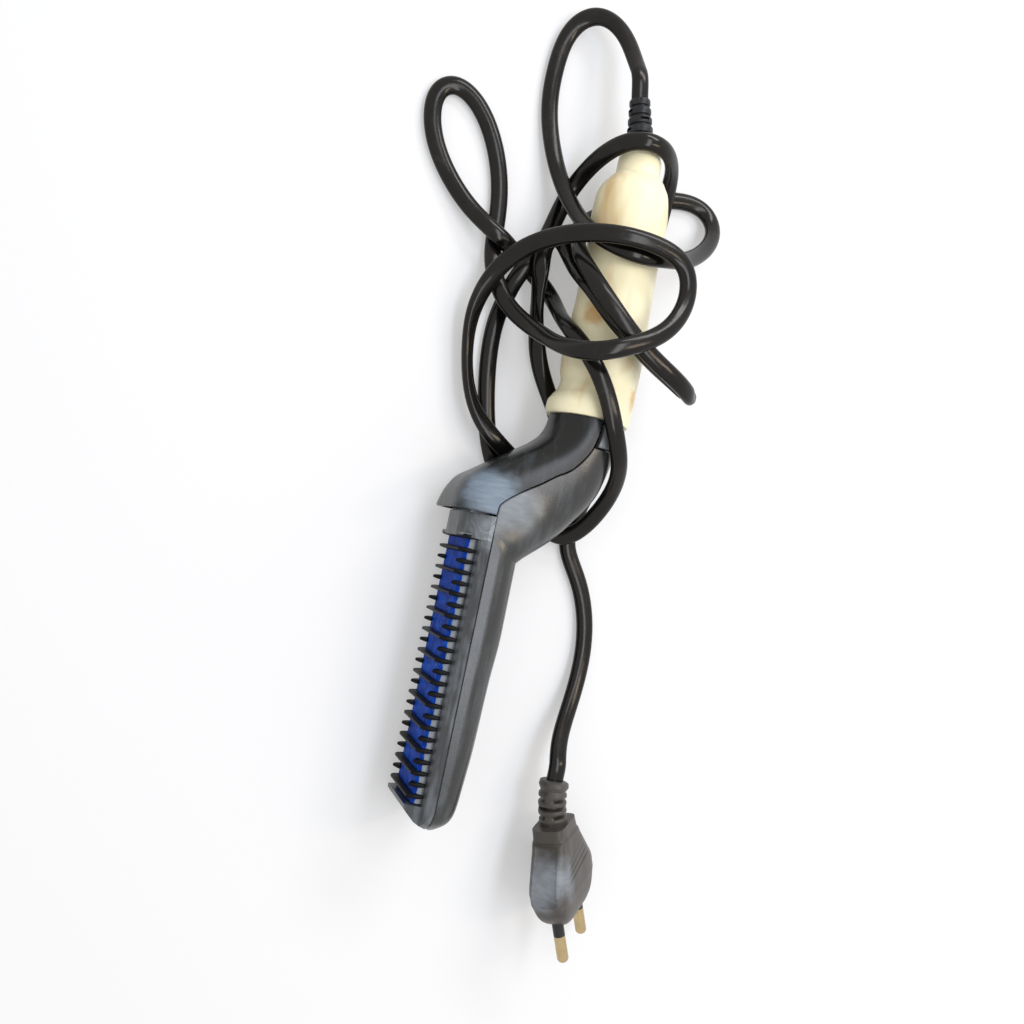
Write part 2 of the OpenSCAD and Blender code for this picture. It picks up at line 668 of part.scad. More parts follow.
// Middle line of the lead: x, y, height above the table, and how far its flat side is turned up.
// From the cord guard it makes a loop, crosses the handle, turns back and runs round the neck
// several times before it reaches the plug.
route = [
  [25, 176, 14, 0], [21.5, 184, 11, 0], [16, 189, 8.8, 0], [10.5, 190, 6.8, 0], [5.5, 187, 4.8, 0],
  [2, 180.5, 3, 0], [0.7, 169, 2.2, 0], [1.2, 155, 2, 0], [5, 141.5, 3, 0], [10, 128, 6.9, 0],
  [16, 113, 18.5, 0], [21, 105, 30.3, 0], [33, 102, 34.5, 0], [46, 105.5, 31, 0], [54, 109, 23.5, 0],
  [63.5, 115.5, 15.5, 0], [71, 124, 9, 0], [73.5, 132, 4.5, 0], [70, 138, 2.4, 0], [62, 139.5, 2, 0],
  [50, 136, 2, 0], [36, 129, 2, 0], [27, 122, 2, 0],
  [20.5, 116, 6, 0], [17, 107.5, 16.5, 0], [14.6, 99, 27.5, 0], [21.5, 85, 39.3, 0], [40, 70, 39.7, 0],
  [55, 64, 38.5, 0], [64, 61, 32, 0], [62, 65, 27, 0], [47, 70, 30.5, 0], [38, 74, 34, 0],
  [29, 79, 34, 0], [21.8, 88, 29.5, 0], [18, 95, 20, 0], [17, 102, 12, 0], [12, 108, 11.3, 0],
  [8, 105.5, 11.2, 0], [7.7, 98, 11.3, 0], [9.4, 89, 8.6, 90], [15, 69, 3.2, 30], [22, 57, 2, 0],
  [31, 44, 2, 0], [28, 32, 2, 0], [18, 28.5, 2, 0], [12, 31, 5.2, 0], [6, 34, 7.3, 0],
  [-5, 44, 6.5, 45], [-10, 62, 4.5, 60], [-12, 77, 8, 30], [-6, 94, 13, 0], [4, 102, 25, 0],
  [18, 105, 37, 0], [38, 106, 38.8, 0], [49, 103, 38, 0], [52, 92, 38.5, 0], [45, 78, 42.3, 0],
  [33, 70, 45.2, 0], [22, 65, 44, 0], [17, 65, 38.5, 0], [13, 67, 30.2, 0], [10, 71, 20.5, 0],
  [0, 80, 7.8, 0], [-5, 87, 6.6, 0], [-8, 97, 2.3, 0], [-8.5, 114, 2, 0], [-12, 128.5, 2, 0],
  [-18.5, 141, 2, 0], [-26, 148.5, 2, 0], [-33, 150.5, 2, 0], [-38, 147, 2, 0], [-39, 139, 2, 0],
  [-35.5, 128.5, 2, 0], [-28, 118.5, 2.2, 0], [-19, 110, 3.8, 0],
  [-10, 104, 7, 0], [-5, 102, 6.3, 0], [2, 99, 2.6, 0], [15.6, 91, 2, 0], [16.8, 81, 14, 0],
  [17.5, 74, 26, 0], [22, 68, 31.5, 0], [30, 58, 34.5, 0], [39, 41, 33.2, 0], [44.5, 33, 28.5, 0],
  [48, 24, 18, 0], [44, 11, 9.5, 0], [38, 6, 6.9, 0], [32, 8, 4.3, 0], [21, 15, 1.9, 0],
  [9, 24, 1.9, 0], [1, 48, 2, 0], [-2, 73, 2, 0], [0, 83, 2, 0], [2, 93, 6.6, 0],
  [6, 99, 6.5, 0], [10, 108, 4, 0], [14, 124, 2, 0], [17, 132, 3.5, 0], [20, 139, 17, 0],
  [26, 142.5, 27.5, 0], [37, 143.5, 27.5, 0], [46, 142, 18, 0], [50, 136, 9, 0], [52, 118, 2, 0],
  [50, 83, 2, 0], [50, 49, 2, 0], [46, 22, 2, 0], [40, 5, 2, 0], [50, -7, 2, 0],
  [57, -28, 2.5, 0], [55, -49, 5.5, 0], [50, -64, 12, 0]
];
lead = concat(
  [guard_end, guard_end + 9 * guard_dir],
  [for (p = route) [p[0], p[1], p[2] - mid_z]],
  [plug_guard_end - 5 * plug_guard_dir, plug_guard_end]
);
lead_roll = concat([0, 0], [for (p = route) p[3]], [0, 0]);

function unit(v) = v / norm(v);
function along(i) = unit(lead[min(i + 1, len(lead) - 1)] - lead[max(i - 1, 0)]);

// Level direction across the lead at each point, always turned the same way as the last one
function across(i = 0, last = [1, 0, 0]) =
  i == len(lead) ? [] :
  let (
    t = along(i),
    c = cross(t, [0, 0, 1]),
    a = unit(norm(c) < 0.35 ? last - (last * t) * t : c),
    b = a * last < 0 ? -a : a
  )
  concat([b], across(i + 1, b));

// Section of the lead: flat, with rounded edges
lead_edge = cord_w / 2;
lead_face = cord_t / 2;
lead_round = 0.45 * lead_face;
lead_inner = lead_edge - lead_face + lead_round;
lead_section = [
  [lead_edge, lead_round], [lead_inner, lead_face], [-lead_inner, lead_face], [-lead_edge, lead_round],
  [-lead_edge, -lead_round], [-lead_inner, -lead_face], [lead_inner, -lead_face], [lead_edge, -lead_round]
];

module power_cord() {
  sides = across();
  color("#1b1b1d") place() loft([
    for (i = [0 : len(lead) - 1])
      let (
        t = along(i),
        c = sides[i],
        r = lead_roll[i],
        a = c * cos(r) + cross(t, c) * sin(r),
        b = cross(t, a)
      )
      [for (p = lead_section) lead[i] + p[0] * a + p[1] * b]
  ]);
}

// Places a shape drawn with X out of the plug's face and Y across its pins
module at_plug()
  translate(plug_face) rotate([0, 0, plug_heading]) rotate([plug_lean, 0, 0]) children();

// Stations of the plug: distance behind the face, share of the width, share of the thickness
plug_line = [
  [0, 0.76, 0.88], [0.9, 0.82, 0.95], [3.4, 0.92, 0.99], [6.2, 0.99, 1], [7.4, 1, 1], [9, 0.97, 1],
  [12, 0.86, 0.99], [16, 0.71, 0.97], [19.8, 0.57, 0.94], [22, 0.5, 0.93], [22.4, 0.47, 0.9],
  [plug_len, 0.45, 0.87]
];

module plug_body() {
  color("#4b4b4c") place() at_plug() difference() {
    loft([for (i = [0 : len(plug_line) - 1]) let (s = plug_line[i])
      [for (k = [0 : 31]) let (t = 11.25 * k)
        [-s[0], s[1] * plug_w / 2 * sq_cos(t, plug_round), s[2] * plug_t / 2 * sq_sin(t, plug_round)]]]);
    for (s = [1, -1]) translate([-6, s * pin_spacing / 2, 0]) rotate([0, 90, 0])
      cylinder(r = pin_r - 0.5, h = 7);
  }
}

module pin_sleeves() {
  color("#2c2c2e") place() at_plug() for (s = [1, -1])
    translate([0, s * pin_spacing / 2, 0]) rotate([0, 90, 0]) difference() {
      cylinder(r = pin_r, h = pin_sleeve_len);
      translate([0, 0, -1]) cylinder(r = pin_r - 0.5, h = pin_sleeve_len + 2);
    }
}

module plug_pins() {
  color("#c9a96a") place() at_plug() for (s = [1, -1])
    translate([0, s * pin_spacing / 2, 0]) rotate([0, 90, 0]) rotate_extrude() polygon([
      [0, -6], [pin_r - 0.5, -6], [pin_r - 0.5, pin_sleeve_len], [pin_r, pin_sleeve_len],
      [pin_r, pin_len - 1.2], [pin_r - 0.4, pin_len - 0.4], [pin_r - 1, pin_len], [0, pin_len]
    ]);
}

// A place on the bent cord guard, at an angle of its bend, with X along it
module on_guard(angle) translate(plug_back) rotate([0, 0, plug_heading + 180])
  translate([0, -guard_bend, 0]) rotate([0, 0, -angle]) translate([0, guard_bend, 0]) children();

module plug_guard() {
  bands = 4;
  gap = 1.2;
  rim = 1.8;
  step = (guard_sweep - rim - 0.4) / bands;
  color("#4b4b4c") place() {
    on_guard(guard_sweep) translate([0, -guard_bend, 0]) rotate([0, 0, 90])
      rotate_extrude(angle = guard_sweep) translate([guard_bend, 0]) circle(r = plug_guard_r - 1.1);
    for (k = [0 : bands - 1]) {
      on_guard(0.4 + k * step) rotate([0, 90, 0])
        cylinder(r = plug_guard_r - 0.1 * (k % 2), h = guard_bend * sin(step - gap));
      // the webs that join a band to the next, on alternate sides
      for (s = [1, -1]) on_guard(0.4 + (k + 0.5) * step) rotate([90 * (k % 2), 0, 0])
        translate([0, -1.4, s * (plug_guard_r - 1) - 0.8]) cube([guard_bend * sin(step), 2.8, 1.6]);
    }
    on_guard(guard_sweep) rotate([0, -90, 0])
      cylinder(r = plug_guard_r + 0.05, h = guard_bend * sin(rim));
  }
}

comb_frame();
comb_fins();
short_teeth_upper();
short_teeth_lower();
heater_plate();
insulating_films();
contact_strips();
ptc_heaters();
heater_spring();
thermal_fuse();
heater_wires();
back_shell();
front_shell();
handle_sleeve();
board_carrier();
circuit_board();
board_parts();
switch_body();
power_button();
mains_wires();
swivel_socket();
swivel_ball();
cord_guard();
power_cord();
plug_guard();
plug_body();
pin_sleeves();
plug_pins();
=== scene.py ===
"""Heated straightening comb with its mains lead, dressed for a studio picture."""

from math import cos, pi, radians, sin, sqrt

import bmesh
import bpy
from mathutils import Matrix, Vector


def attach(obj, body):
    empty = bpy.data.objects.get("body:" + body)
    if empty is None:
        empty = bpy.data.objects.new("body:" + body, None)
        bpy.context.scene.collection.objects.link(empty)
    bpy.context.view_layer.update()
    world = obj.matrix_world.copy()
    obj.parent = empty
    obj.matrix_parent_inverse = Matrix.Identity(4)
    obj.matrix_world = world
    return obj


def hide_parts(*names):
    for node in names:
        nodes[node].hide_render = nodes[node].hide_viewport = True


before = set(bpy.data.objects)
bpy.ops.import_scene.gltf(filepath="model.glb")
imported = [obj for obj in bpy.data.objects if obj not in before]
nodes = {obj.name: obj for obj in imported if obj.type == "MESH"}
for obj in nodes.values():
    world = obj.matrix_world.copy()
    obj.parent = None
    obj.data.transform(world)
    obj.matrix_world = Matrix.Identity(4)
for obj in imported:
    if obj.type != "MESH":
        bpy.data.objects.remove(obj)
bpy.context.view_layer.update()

MM = 0.001
# The middle of the box round the tool, measured from the comb's upper end, and half of its height
ORIGIN_X, ORIGIN_Y, MID_Z = 19.425, 25.4118, 17.5


def at(x, y, z):
    """A point from the root of the fins, the comb's upper end and the middle plane, in millimetres."""
    return Vector((x - ORIGIN_X, y - ORIGIN_Y, z + MID_Z)) * MM


# The picture: camera, colours and nodes

def set_camera():
    eye = Vector((-111.51, -29.90, 322.63)) * MM
    ahead = Vector((0.32729, 0.04687, -0.94376)).normalized()
    up = Vector((-0.20954, 0.97750, -0.02412))
    right = ahead.cross(up).normalized()
    up = right.cross(ahead)
    camera = bpy.data.cameras.new("camera")
    camera.sensor_width = 36
    camera.lens = 33.75
    camera.clip_start = 0.01
    camera.clip_end = 20
    holder = bpy.data.objects.new("camera", camera)
    holder.matrix_world = Matrix.Translation(eye) @ Matrix((right, up, -ahead)).transposed().to_4x4()
    bpy.context.scene.collection.objects.link(holder)
    bpy.context.scene.camera = holder


def linear(hex_colour):
    """An sRGB hex value as the linear colour that shaders take."""
    parts = [int(hex_colour[i:i + 2], 16) / 255 for i in (1, 3, 5)]
    return tuple(c / 12.92 if c <= 0.04045 else ((c + 0.055) / 1.055) ** 2.4 for c in parts) + (1,)


def per(size):
    """The scale of a pattern whose spots are this many millimetres wide."""
    return 1000 / size


def put(tree, kind, sockets, **settings):
    """Adds a node with its settings, or its ramp's stops; a socket takes a value or (node, output)."""
    node = tree.nodes.new("ShaderNode" + kind)
    for key, value in settings.items():
        if key == "stops":
            bar = node.color_ramp.elements
            while len(bar) < len(value):
                bar.new(0.5)
            for stop, (place, colour) in zip(bar, value):
                stop.position = place
                stop.color = linear(colour) if isinstance(colour, str) else (colour, colour, colour, 1)
        else:
            setattr(node, key, value)
    for key, value in sockets.items():
        if isinstance(value, tuple) and isinstance(value[0], bpy.types.Node):
            tree.links.new(value[0].outputs[value[1]], node.inputs[key])
        else:
            node.inputs[key].default_value = value
    return node


def new_material(name):
    material = bpy.data.materials.new(name)
    material.use_nodes = True
    material.node_tree.nodes.clear()
    return material, material.node_tree


set_camera()


# Sizes in millimetres

# places past everything that is cut, where the blocks that cut it may end
LEFT, RIGHT, BELOW, ABOVE = -60, 90, -140, 80
# wall of the shells, gap of the parting line, half width of the head and the power of its oval
SHELL_WALL, SEAM_GAP, HALF_W, HEAD_POWER = 1.8, 0.3, 17.5, 3
# how far the edges of the parting line, of the cuts across the neck and of the button's rims are rounded
SEAM_ROUND, EDGE_ROUND, RIM_ROUND = 0.34, 0.3, 0.35
# where the parting line runs on the head, and the two ends of the front shell
SEAM_X, FRONT_START, FRONT_END = 3.2, 7.9, 46.3
# the button's key: its ends, the gap below it, how far it stays behind the parting line, and its inner face
BUTTON_BOTTOM, BUTTON_TOP, BUTTON_GAP, KEY_BEHIND, KEY_DEPTH = 37.5, 45.6, 0.7, 1.35, 3.2
# the lip that holds the key in: its outer face, its front edge and its ends
LIP_DEPTH, LIP_X, LIP_BOTTOM, LIP_TOP = 2.2, 38.9, 35.6, 38
# the key's stem: from and to which depth it reaches, its place and its radius
STEM_IN, STEM_OUT, STEM_Y, STEM_R = 38.1, 44.7, 41.55, 2.2
# ribs inside the back of the head: from and to which depth, half of their thickness and width, and places
RIB_IN, RIB_OUT, RIB_HALF, RIB_REACH, RIBS = 11.7, 14.3, 0.8, 6, (-27.3, -61.3)
HANDLE_X, HANDLE_R, SLEEVE_START, SLEEVE_LEN = 33.6, 13.3, 46.8, 95.2
SLEEVE_END = SLEEVE_START + SLEEVE_LEN
# how far the thumb rest goes in, as a share of the handle's thickness
REST_DEPTH = 0.06
# the plate's face, and how far its blue coat wraps over the edge
PLATE_FACE, COAT_WRAP = -1.95, 0.6
# place of the first fin, spacing, number and height of the fins
FIN_LEAD, FIN_PITCH, FIN_COUNT, FIN_H = 5, 7.2, 12, 5.5
# outer and inner face of a fin's legs, and the underside of its bridge
LEG_OUT, LEG_IN, BRIDGE = 12.4, 11.4, -3.4
# half thickness of a fin at its edges, how much more it is in the middle, where that is, and its reach
FIN_EDGE, FIN_SWELL, FIN_MIDDLE, FIN_REACH = 0.24, 0.58, -2.5, 3.3
# the flat lead: width, thickness and the power of its oval section
CORD_W, CORD_T, CORD_POWER = 6.2, 3.7, 2.2
BALL = (HANDLE_X, SLEEVE_END - 2.5, 0.0)
CORD_GUARD_TILT, CORD_GUARD_LEN = radians(13), 22.0
# the plug lies on one edge, turned and leaning; its section is an oval of a high power, almost a rectangle
PLUG_HEADING, PLUG_LEAN, PLUG_POWER = radians(-68.3), radians(133), 5
PLUG_LEN, PLUG_W, PLUG_T = 26.4, 35.0, 13.7
PIN_SPACING, PIN_R = 18.6, 2.0
# the scoop in its narrow sides: where it starts and stops, its depth and half of its width
SCOOP_START, SCOOP_STOP, SCOOP_DEPTH, SCOOP_HALF = 4.1, 21.9, 0.9, 5.2
# the grip grooves on its broad sides: number, spacing, radius and how far their middles are off the face
GRIPS, GRIP_PITCH, GRIP_R, GRIP_OFF = 4, 2.1, 0.62, 0.25
# the plug's guard: radius and sweep of its bend, its own radius, and how far it starts inside the plug
GUARD_BEND, GUARD_SWEEP, GUARD_R, GUARD_SUNK = 39.6, radians(21.2), 4.85, 0.6
# places of its slots, their depth, the spacing of its bands, and the groove behind its rim
SLOTS, SLOT_DEPTH, BAND_PITCH, GROOVE = (2.9, 5.7, 8.5), 2.1, 2.8, 11.3
# what lies on the floor is this far clear of it
OFF_FLOOR = 0.05


def resting_height():
    """How high the middle of the leaning plug is when its section rests on the floor."""
    power = PLUG_POWER / (PLUG_POWER - 1)
    wide, thick = abs(PLUG_W / 2 * sin(PLUG_LEAN)), abs(PLUG_T / 2 * cos(PLUG_LEAN))
    return (wide ** power + thick ** power) ** (1 / power)


PLUG_FACE = Vector((62.5, -115.6, resting_height() + OFF_FLOOR - MID_Z))


def on_plug(behind, across, over):
    """A point of the plug: behind its face, across its pins and over its broad side."""
    turned = Matrix.Rotation(PLUG_HEADING, 3, "Z") @ Matrix.Rotation(PLUG_LEAN, 3, "X")
    return at(*(PLUG_FACE + turned @ Vector((-behind, across, over))))


# Finishes

# most of a noise lies between these two values
NOISE_SPREAD = {"From Min": 0.3, "From Max": 0.7}


def blot(tree, spot, middle, reach):
    """One in the middle of a ragged blot, and zero beyond its reach in millimetres."""
    away = put(tree, "VectorMath", {0: spot, 1: tuple(middle)}, operation="DISTANCE")
    rough = put(tree, "TexNoise", {"Vector": spot, "Scale": per(0.9 * reach), "Detail": 4.0})
    ragged = put(tree, "Math", {0: (rough, "Fac"), 1: -1.3 * reach * MM, 2: (away, "Value")},
                 operation="MULTIPLY_ADD")
    return put(tree, "MapRange", {"Value": (ragged, "Value"), "From Min": 0.4 * reach * MM,
                                  "From Max": -0.4 * reach * MM}, interpolation_type="SMOOTHSTEP")


def moulded_plastic(name, colour, wear_and_reflection_colour, roughness, scuffs, grain_mm=0.35, grain=0.012, painted_reflection=None,
                    swirls=False, shine=0.3):
    """Injection-moulded plastic: a fine mould grain, a cloudy gloss, pale scuffs from use, and where asked a
    painted reflection.

    scuffs is how pale they get, grain_mm the width of the mould grain, grain its depth and shine the specular
    level. A pale blot of painted reflection is given by its middle and its reach in millimetres; swirls draw
    the mould's flow lines in it.
    """
    material, tree = new_material(name)
    spot = (put(tree, "TexCoord", {}), "Object")
    cloud = put(tree, "TexNoise", {"Vector": spot, "Scale": per(18), "Detail": 4.0, "Roughness": 0.6})
    # rubbed patches, 3 mm wide and 20 mm long
    lengthways = put(tree, "Mapping", {"Vector": spot, "Scale": (per(3), per(20), per(3))})
    rub = put(tree, "TexNoise", {"Vector": (lengthways, "Vector"), "Scale": 1.0, "Detail": 5.0})
    patch = put(tree, "Math", {0: (cloud, "Fac"), 1: 0.6, 2: (rub, "Fac")}, operation="MULTIPLY_ADD")
    scuff = put(tree, "ValToRGB", {"Fac": (patch, "Value")}, stops=[(0.78, 0.0), (1.0, scuffs)])
    # scratches run along the piece, 14 mm long; real ones are finer than the 0.9 mm that they need to show
    drawn = put(tree, "Mapping", {"Vector": spot, "Scale": (per(0.9), per(14), per(0.9))})
    hair = put(tree, "TexNoise", {"Vector": (drawn, "Vector"), "Scale": 1.0, "Detail": 3.0})
    scratch = put(tree, "ValToRGB", {"Fac": (hair, "Fac")}, stops=[(0.64, 0.0), (0.70, 0.5 * scuffs)])
    wear_and_reflection = put(tree, "Math", {0: (scuff, "Color"), 1: (scratch, "Color")}, operation="MAXIMUM")
    # painted reflection: a pale blot painted where the lamps' reflection falls, in the wear colour
    if painted_reflection:
        near = blot(tree, spot, *painted_reflection)
        if swirls:
            # the mould's flow lines in the painted reflection: the contours of a stretched noise, 8 mm apart
            flow = put(tree, "TexNoise", {"Vector": spot, "Scale": per(8), "Detail": 0.5, "Distortion": 2.0})
            reflection_pattern = put(tree, "ValToRGB", {"Fac": (flow, "Fac")},
                        stops=[(0.3, 0.5), (0.42, 0.95), (0.47, 0.4), (0.53, 0.55), (0.57, 1.0),
                               (0.63, 0.5), (0.72, 0.8)])
        else:
            # streaks in the painted reflection, 6 mm long and 1.2 mm wide
            drag = put(tree, "Mapping", {"Vector": spot, "Rotation": (0, 0, radians(-35)),
                                         "Scale": (per(6), per(1.2), per(4))})
            stroke = put(tree, "TexNoise", {"Vector": (drag, "Vector"), "Scale": 1.0, "Detail": 4.0})
            reflection_pattern = put(tree, "ValToRGB", {"Fac": (stroke, "Fac")}, stops=[(0.3, 0.72), (0.65, 1.0)])
        painted_reflection_mask = put(tree, "Math", {0: (near, "Result"), 1: (reflection_pattern, "Color")}, operation="MULTIPLY")
        wear_and_reflection = put(tree, "Math", {0: (wear_and_reflection, "Value"), 1: (painted_reflection_mask, "Value")}, operation="MAXIMUM")
    base = put(tree, "Mix", {"Factor": (wear_and_reflection, "Value"), "A": linear(colour), "B": linear(wear_and_reflection_colour)},
               data_type="RGBA")
    gloss = put(tree, "MapRange", {**NOISE_SPREAD, "Value": (cloud, "Fac"),
                                   "To Min": roughness * 0.85, "To Max": roughness * 1.2})
    dull = put(tree, "Math", {0: (wear_and_reflection, "Value"), 1: 0.15, 2: (gloss, "Result")}, operation="MULTIPLY_ADD")
    grit = put(tree, "TexNoise", {"Vector": spot, "Scale": per(grain_mm), "Detail": 2.0})
    relief = put(tree, "Bump", {"Height": (grit, "Fac"), "Strength": 1.0, "Distance": grain * MM})
    wear_and_reflection_relief = put(tree, "Bump", {"Height": (wear_and_reflection, "Value"), "Strength": 0.5, "Distance": 0.02 * MM,
                                     "Normal": (relief, "Normal")}, invert=True)
    shader = put(tree, "BsdfPrincipled", {"Base Color": (base, "Result"), "Roughness": (dull, "Value"),
                                          "IOR": 1.52, "Specular IOR Level": shine,
                                          "Normal": (wear_and_reflection_relief, "Normal")})
    put(tree, "OutputMaterial", {"Surface": (shader, "BSDF")})
    return material


def cream_handle_plastic():
    """Cream ABS from a polished mould: a soft gloss, yellowed in clouds and stained tan in blotches and in two
    darker blots.
    """
    material, tree = new_material("cream_abs")
    place = (put(tree, "TexCoord", {}), "Object")
    spot = (put(tree, "Mapping", {"Vector": place, "Scale": (1.0, 0.55, 1.0)}), "Vector")
    # stains are blotches, 10 to 30 mm long
    blotch = put(tree, "TexNoise", {"Vector": spot, "Scale": per(16), "Detail": 3.0, "Roughness": 0.5,
                                    "Distortion": 0.6})
    stain = put(tree, "ValToRGB", {"Fac": (blotch, "Fac")}, stops=[(0.58, 0.0), (0.66, 0.3), (0.74, 0.7)])
    # two darker tan blots, one in the thumb rest on the front of the flank and one on the back just above the
    # lower bulb
    thumb_rest_blot = blot(tree, place, at(24.5, 82, 9.5), 7)
    back_blot = blot(tree, place, at(44.5, 56, 8), 5)
    darker_blots = put(tree, "Math", {0: (thumb_rest_blot, "Result"), 1: (back_blot, "Result")}, operation="MAXIMUM")
    tanned = put(tree, "Math", {0: (darker_blots, "Value"), 1: 0.85, 2: (stain, "Color")},
                 operation="MULTIPLY_ADD", use_clamp=True)
    cloud = put(tree, "TexNoise", {"Vector": spot, "Scale": per(35), "Detail": 2.0})
    cream = put(tree, "Mix", {"Factor": (cloud, "Fac"), "A": linear("#faf3d6"), "B": linear("#f6eabc")},
                data_type="RGBA")
    colour = put(tree, "Mix", {"Factor": (tanned, "Value"), "A": (cream, "Result"), "B": linear("#cfa564")},
                 data_type="RGBA")
    fine = put(tree, "TexNoise", {"Vector": spot, "Scale": per(1.2), "Detail": 5.0})
    gloss = put(tree, "MapRange", {**NOISE_SPREAD, "Value": (fine, "Fac"), "To Min": 0.26, "To Max": 0.36})
    ripple = put(tree, "Bump", {"Height": (cloud, "Fac"), "Strength": 0.6, "Distance": 0.25 * MM})
    shader = put(tree, "BsdfPrincipled", {"Base Color": (colour, "Result"), "Roughness": (gloss, "Result"),
                                          "IOR": 1.53, "Specular IOR Level": 0.2,
                                          "Normal": (ripple, "Normal")})
    put(tree, "OutputMaterial", {"Surface": (shader, "BSDF")})
    return material


def coated_aluminium():
    """Aluminium plate, sprayed with ceramic: a mottled, dull blue face, and sides that are rubbed bare."""
    material, tree = new_material("ceramic_coated_aluminium")
    spot = (put(tree, "TexCoord", {}), "Object")
    mottle = put(tree, "TexNoise", {"Vector": spot, "Scale": per(4), "Detail": 5.0, "Roughness": 0.65})
    blue = put(tree, "ValToRGB", {"Fac": (mottle, "Fac")},
               stops=[(0.3, "#042266"), (0.5, "#083ea6"), (0.7, "#185acc")])
    chip = put(tree, "TexNoise", {"Vector": spot, "Scale": per(1.1), "Detail": 3.0})
    chipped = put(tree, "ValToRGB", {"Fac": (chip, "Fac")}, stops=[(0.72, 0.0), (0.75, 0.7)])
    # the coat wraps over the edge and ends in a ragged line
    depth = put(tree, "SeparateXYZ", {"Vector": spot})
    ragged = put(tree, "Math", {0: (mottle, "Fac"), 1: 1.2 * MM, 2: (depth, "X")}, operation="MULTIPLY_ADD")
    edge = at(PLATE_FACE, 0, 0).x + COAT_WRAP * MM
    bare_side = put(tree, "MapRange", {"Value": (ragged, "Value"), "From Min": edge - 0.1 * MM,
                                       "From Max": edge + 0.1 * MM})
    bare = put(tree, "Math", {0: (bare_side, "Result"), 1: (chipped, "Color")}, operation="MAXIMUM")
    colour = put(tree, "Mix", {"Factor": (bare, "Value"), "A": (blue, "Color"), "B": linear("#9a9fa5")},
                 data_type="RGBA")
    dust = put(tree, "Bump", {"Height": (mottle, "Fac"), "Strength": 0.7, "Distance": 0.03 * MM})
    shader = put(tree, "BsdfPrincipled", {"Base Color": (colour, "Result"), "Roughness": 0.5,
                                          "Specular IOR Level": 0.06, "Normal": (dust, "Normal")})
    put(tree, "OutputMaterial", {"Surface": (shader, "BSDF")})
    return material


def lead_vinyl():
    """Extruded black PVC: smooth and glossy, slightly wavy, with a dusty bloom."""
    material, tree = new_material("extruded_pvc")
    spot = (put(tree, "TexCoord", {}), "Object")
    bloom = put(tree, "TexNoise", {"Vector": spot, "Scale": per(12), "Detail": 6.0, "Roughness": 0.7})
    colour = put(tree, "ValToRGB", {"Fac": (bloom, "Fac")},
                 stops=[(0.35, "#0b0b0b"), (0.6, "#141211"), (0.75, "#29241d")])
    gloss = put(tree, "MapRange", {"Value": (bloom, "Fac"), "From Min": 0.35, "From Max": 0.7,
                                   "To Min": 0.13, "To Max": 0.26})
    wave = put(tree, "TexNoise", {"Vector": spot, "Scale": per(5), "Detail": 2.0})
    relief = put(tree, "Bump", {"Height": (wave, "Fac"), "Strength": 0.5, "Distance": 0.12 * MM})
    shader = put(tree, "BsdfPrincipled", {"Base Color": (colour, "Color"), "Roughness": (gloss, "Result"),
                                          "IOR": 1.54, "Specular IOR Level": 0.24,
                                          "Specular Tint": linear("#fffaf2"), "Normal": (relief, "Normal")})
    put(tree, "OutputMaterial", {"Surface": (shader, "BSDF")})
    return material


def metal(name, colour, roughness):
    """Drawn or rolled metal: fine lines along it and a tarnish that darkens and dulls it in patches."""
    material, tree = new_material(name)
    spot = (put(tree, "TexCoord", {}), "Object")
    drawn = put(tree, "Mapping", {"Vector": spot, "Scale": (per(0.2), per(20), per(0.2))})
    lines = put(tree, "TexNoise", {"Vector": (drawn, "Vector"), "Scale": 1.0, "Detail": 2.0})
    patch = put(tree, "TexNoise", {"Vector": spot, "Scale": per(3), "Detail": 4.0})
    tarnished = tuple(0.6 * c for c in linear(colour)[:3]) + (1,)
    shade = put(tree, "Mix", {"Factor": (patch, "Fac"), "A": linear(colour), "B": tarnished}, data_type="RGBA")
    gloss = put(tree, "MapRange", {**NOISE_SPREAD, "Value": (patch, "Fac"),
                                   "To Min": roughness * 0.8, "To Max": roughness * 1.3})
    relief = put(tree, "Bump", {"Height": (lines, "Fac"), "Strength": 0.3, "Distance": 0.01 * MM})
    shader = put(tree, "BsdfPrincipled", {"Base Color": (shade, "Result"), "Metallic": 1.0,
                                          "Roughness": (gloss, "Result"), "Normal": (relief, "Normal")})
    put(tree, "OutputMaterial", {"Surface": (shader, "BSDF")})
    return material


def sintered_ceramic():
    """Pressed and fired heating ceramic: dull grey-brown with dark specks."""
    material, tree = new_material("sintered_ceramic")
    spot = (put(tree, "TexCoord", {}), "Object")
    speck = put(tree, "TexNoise", {"Vector": spot, "Scale": per(0.6), "Detail": 4.0})
    colour = put(tree, "ValToRGB", {"Fac": (speck, "Fac")}, stops=[(0.35, "#3f3c38"), (0.6, "#69655e")])
    shader = put(tree, "BsdfPrincipled", {"Base Color": (colour, "Color"), "Roughness": 0.75, "IOR": 1.6})
    put(tree, "OutputMaterial", {"Surface": (shader, "BSDF")})
    return material
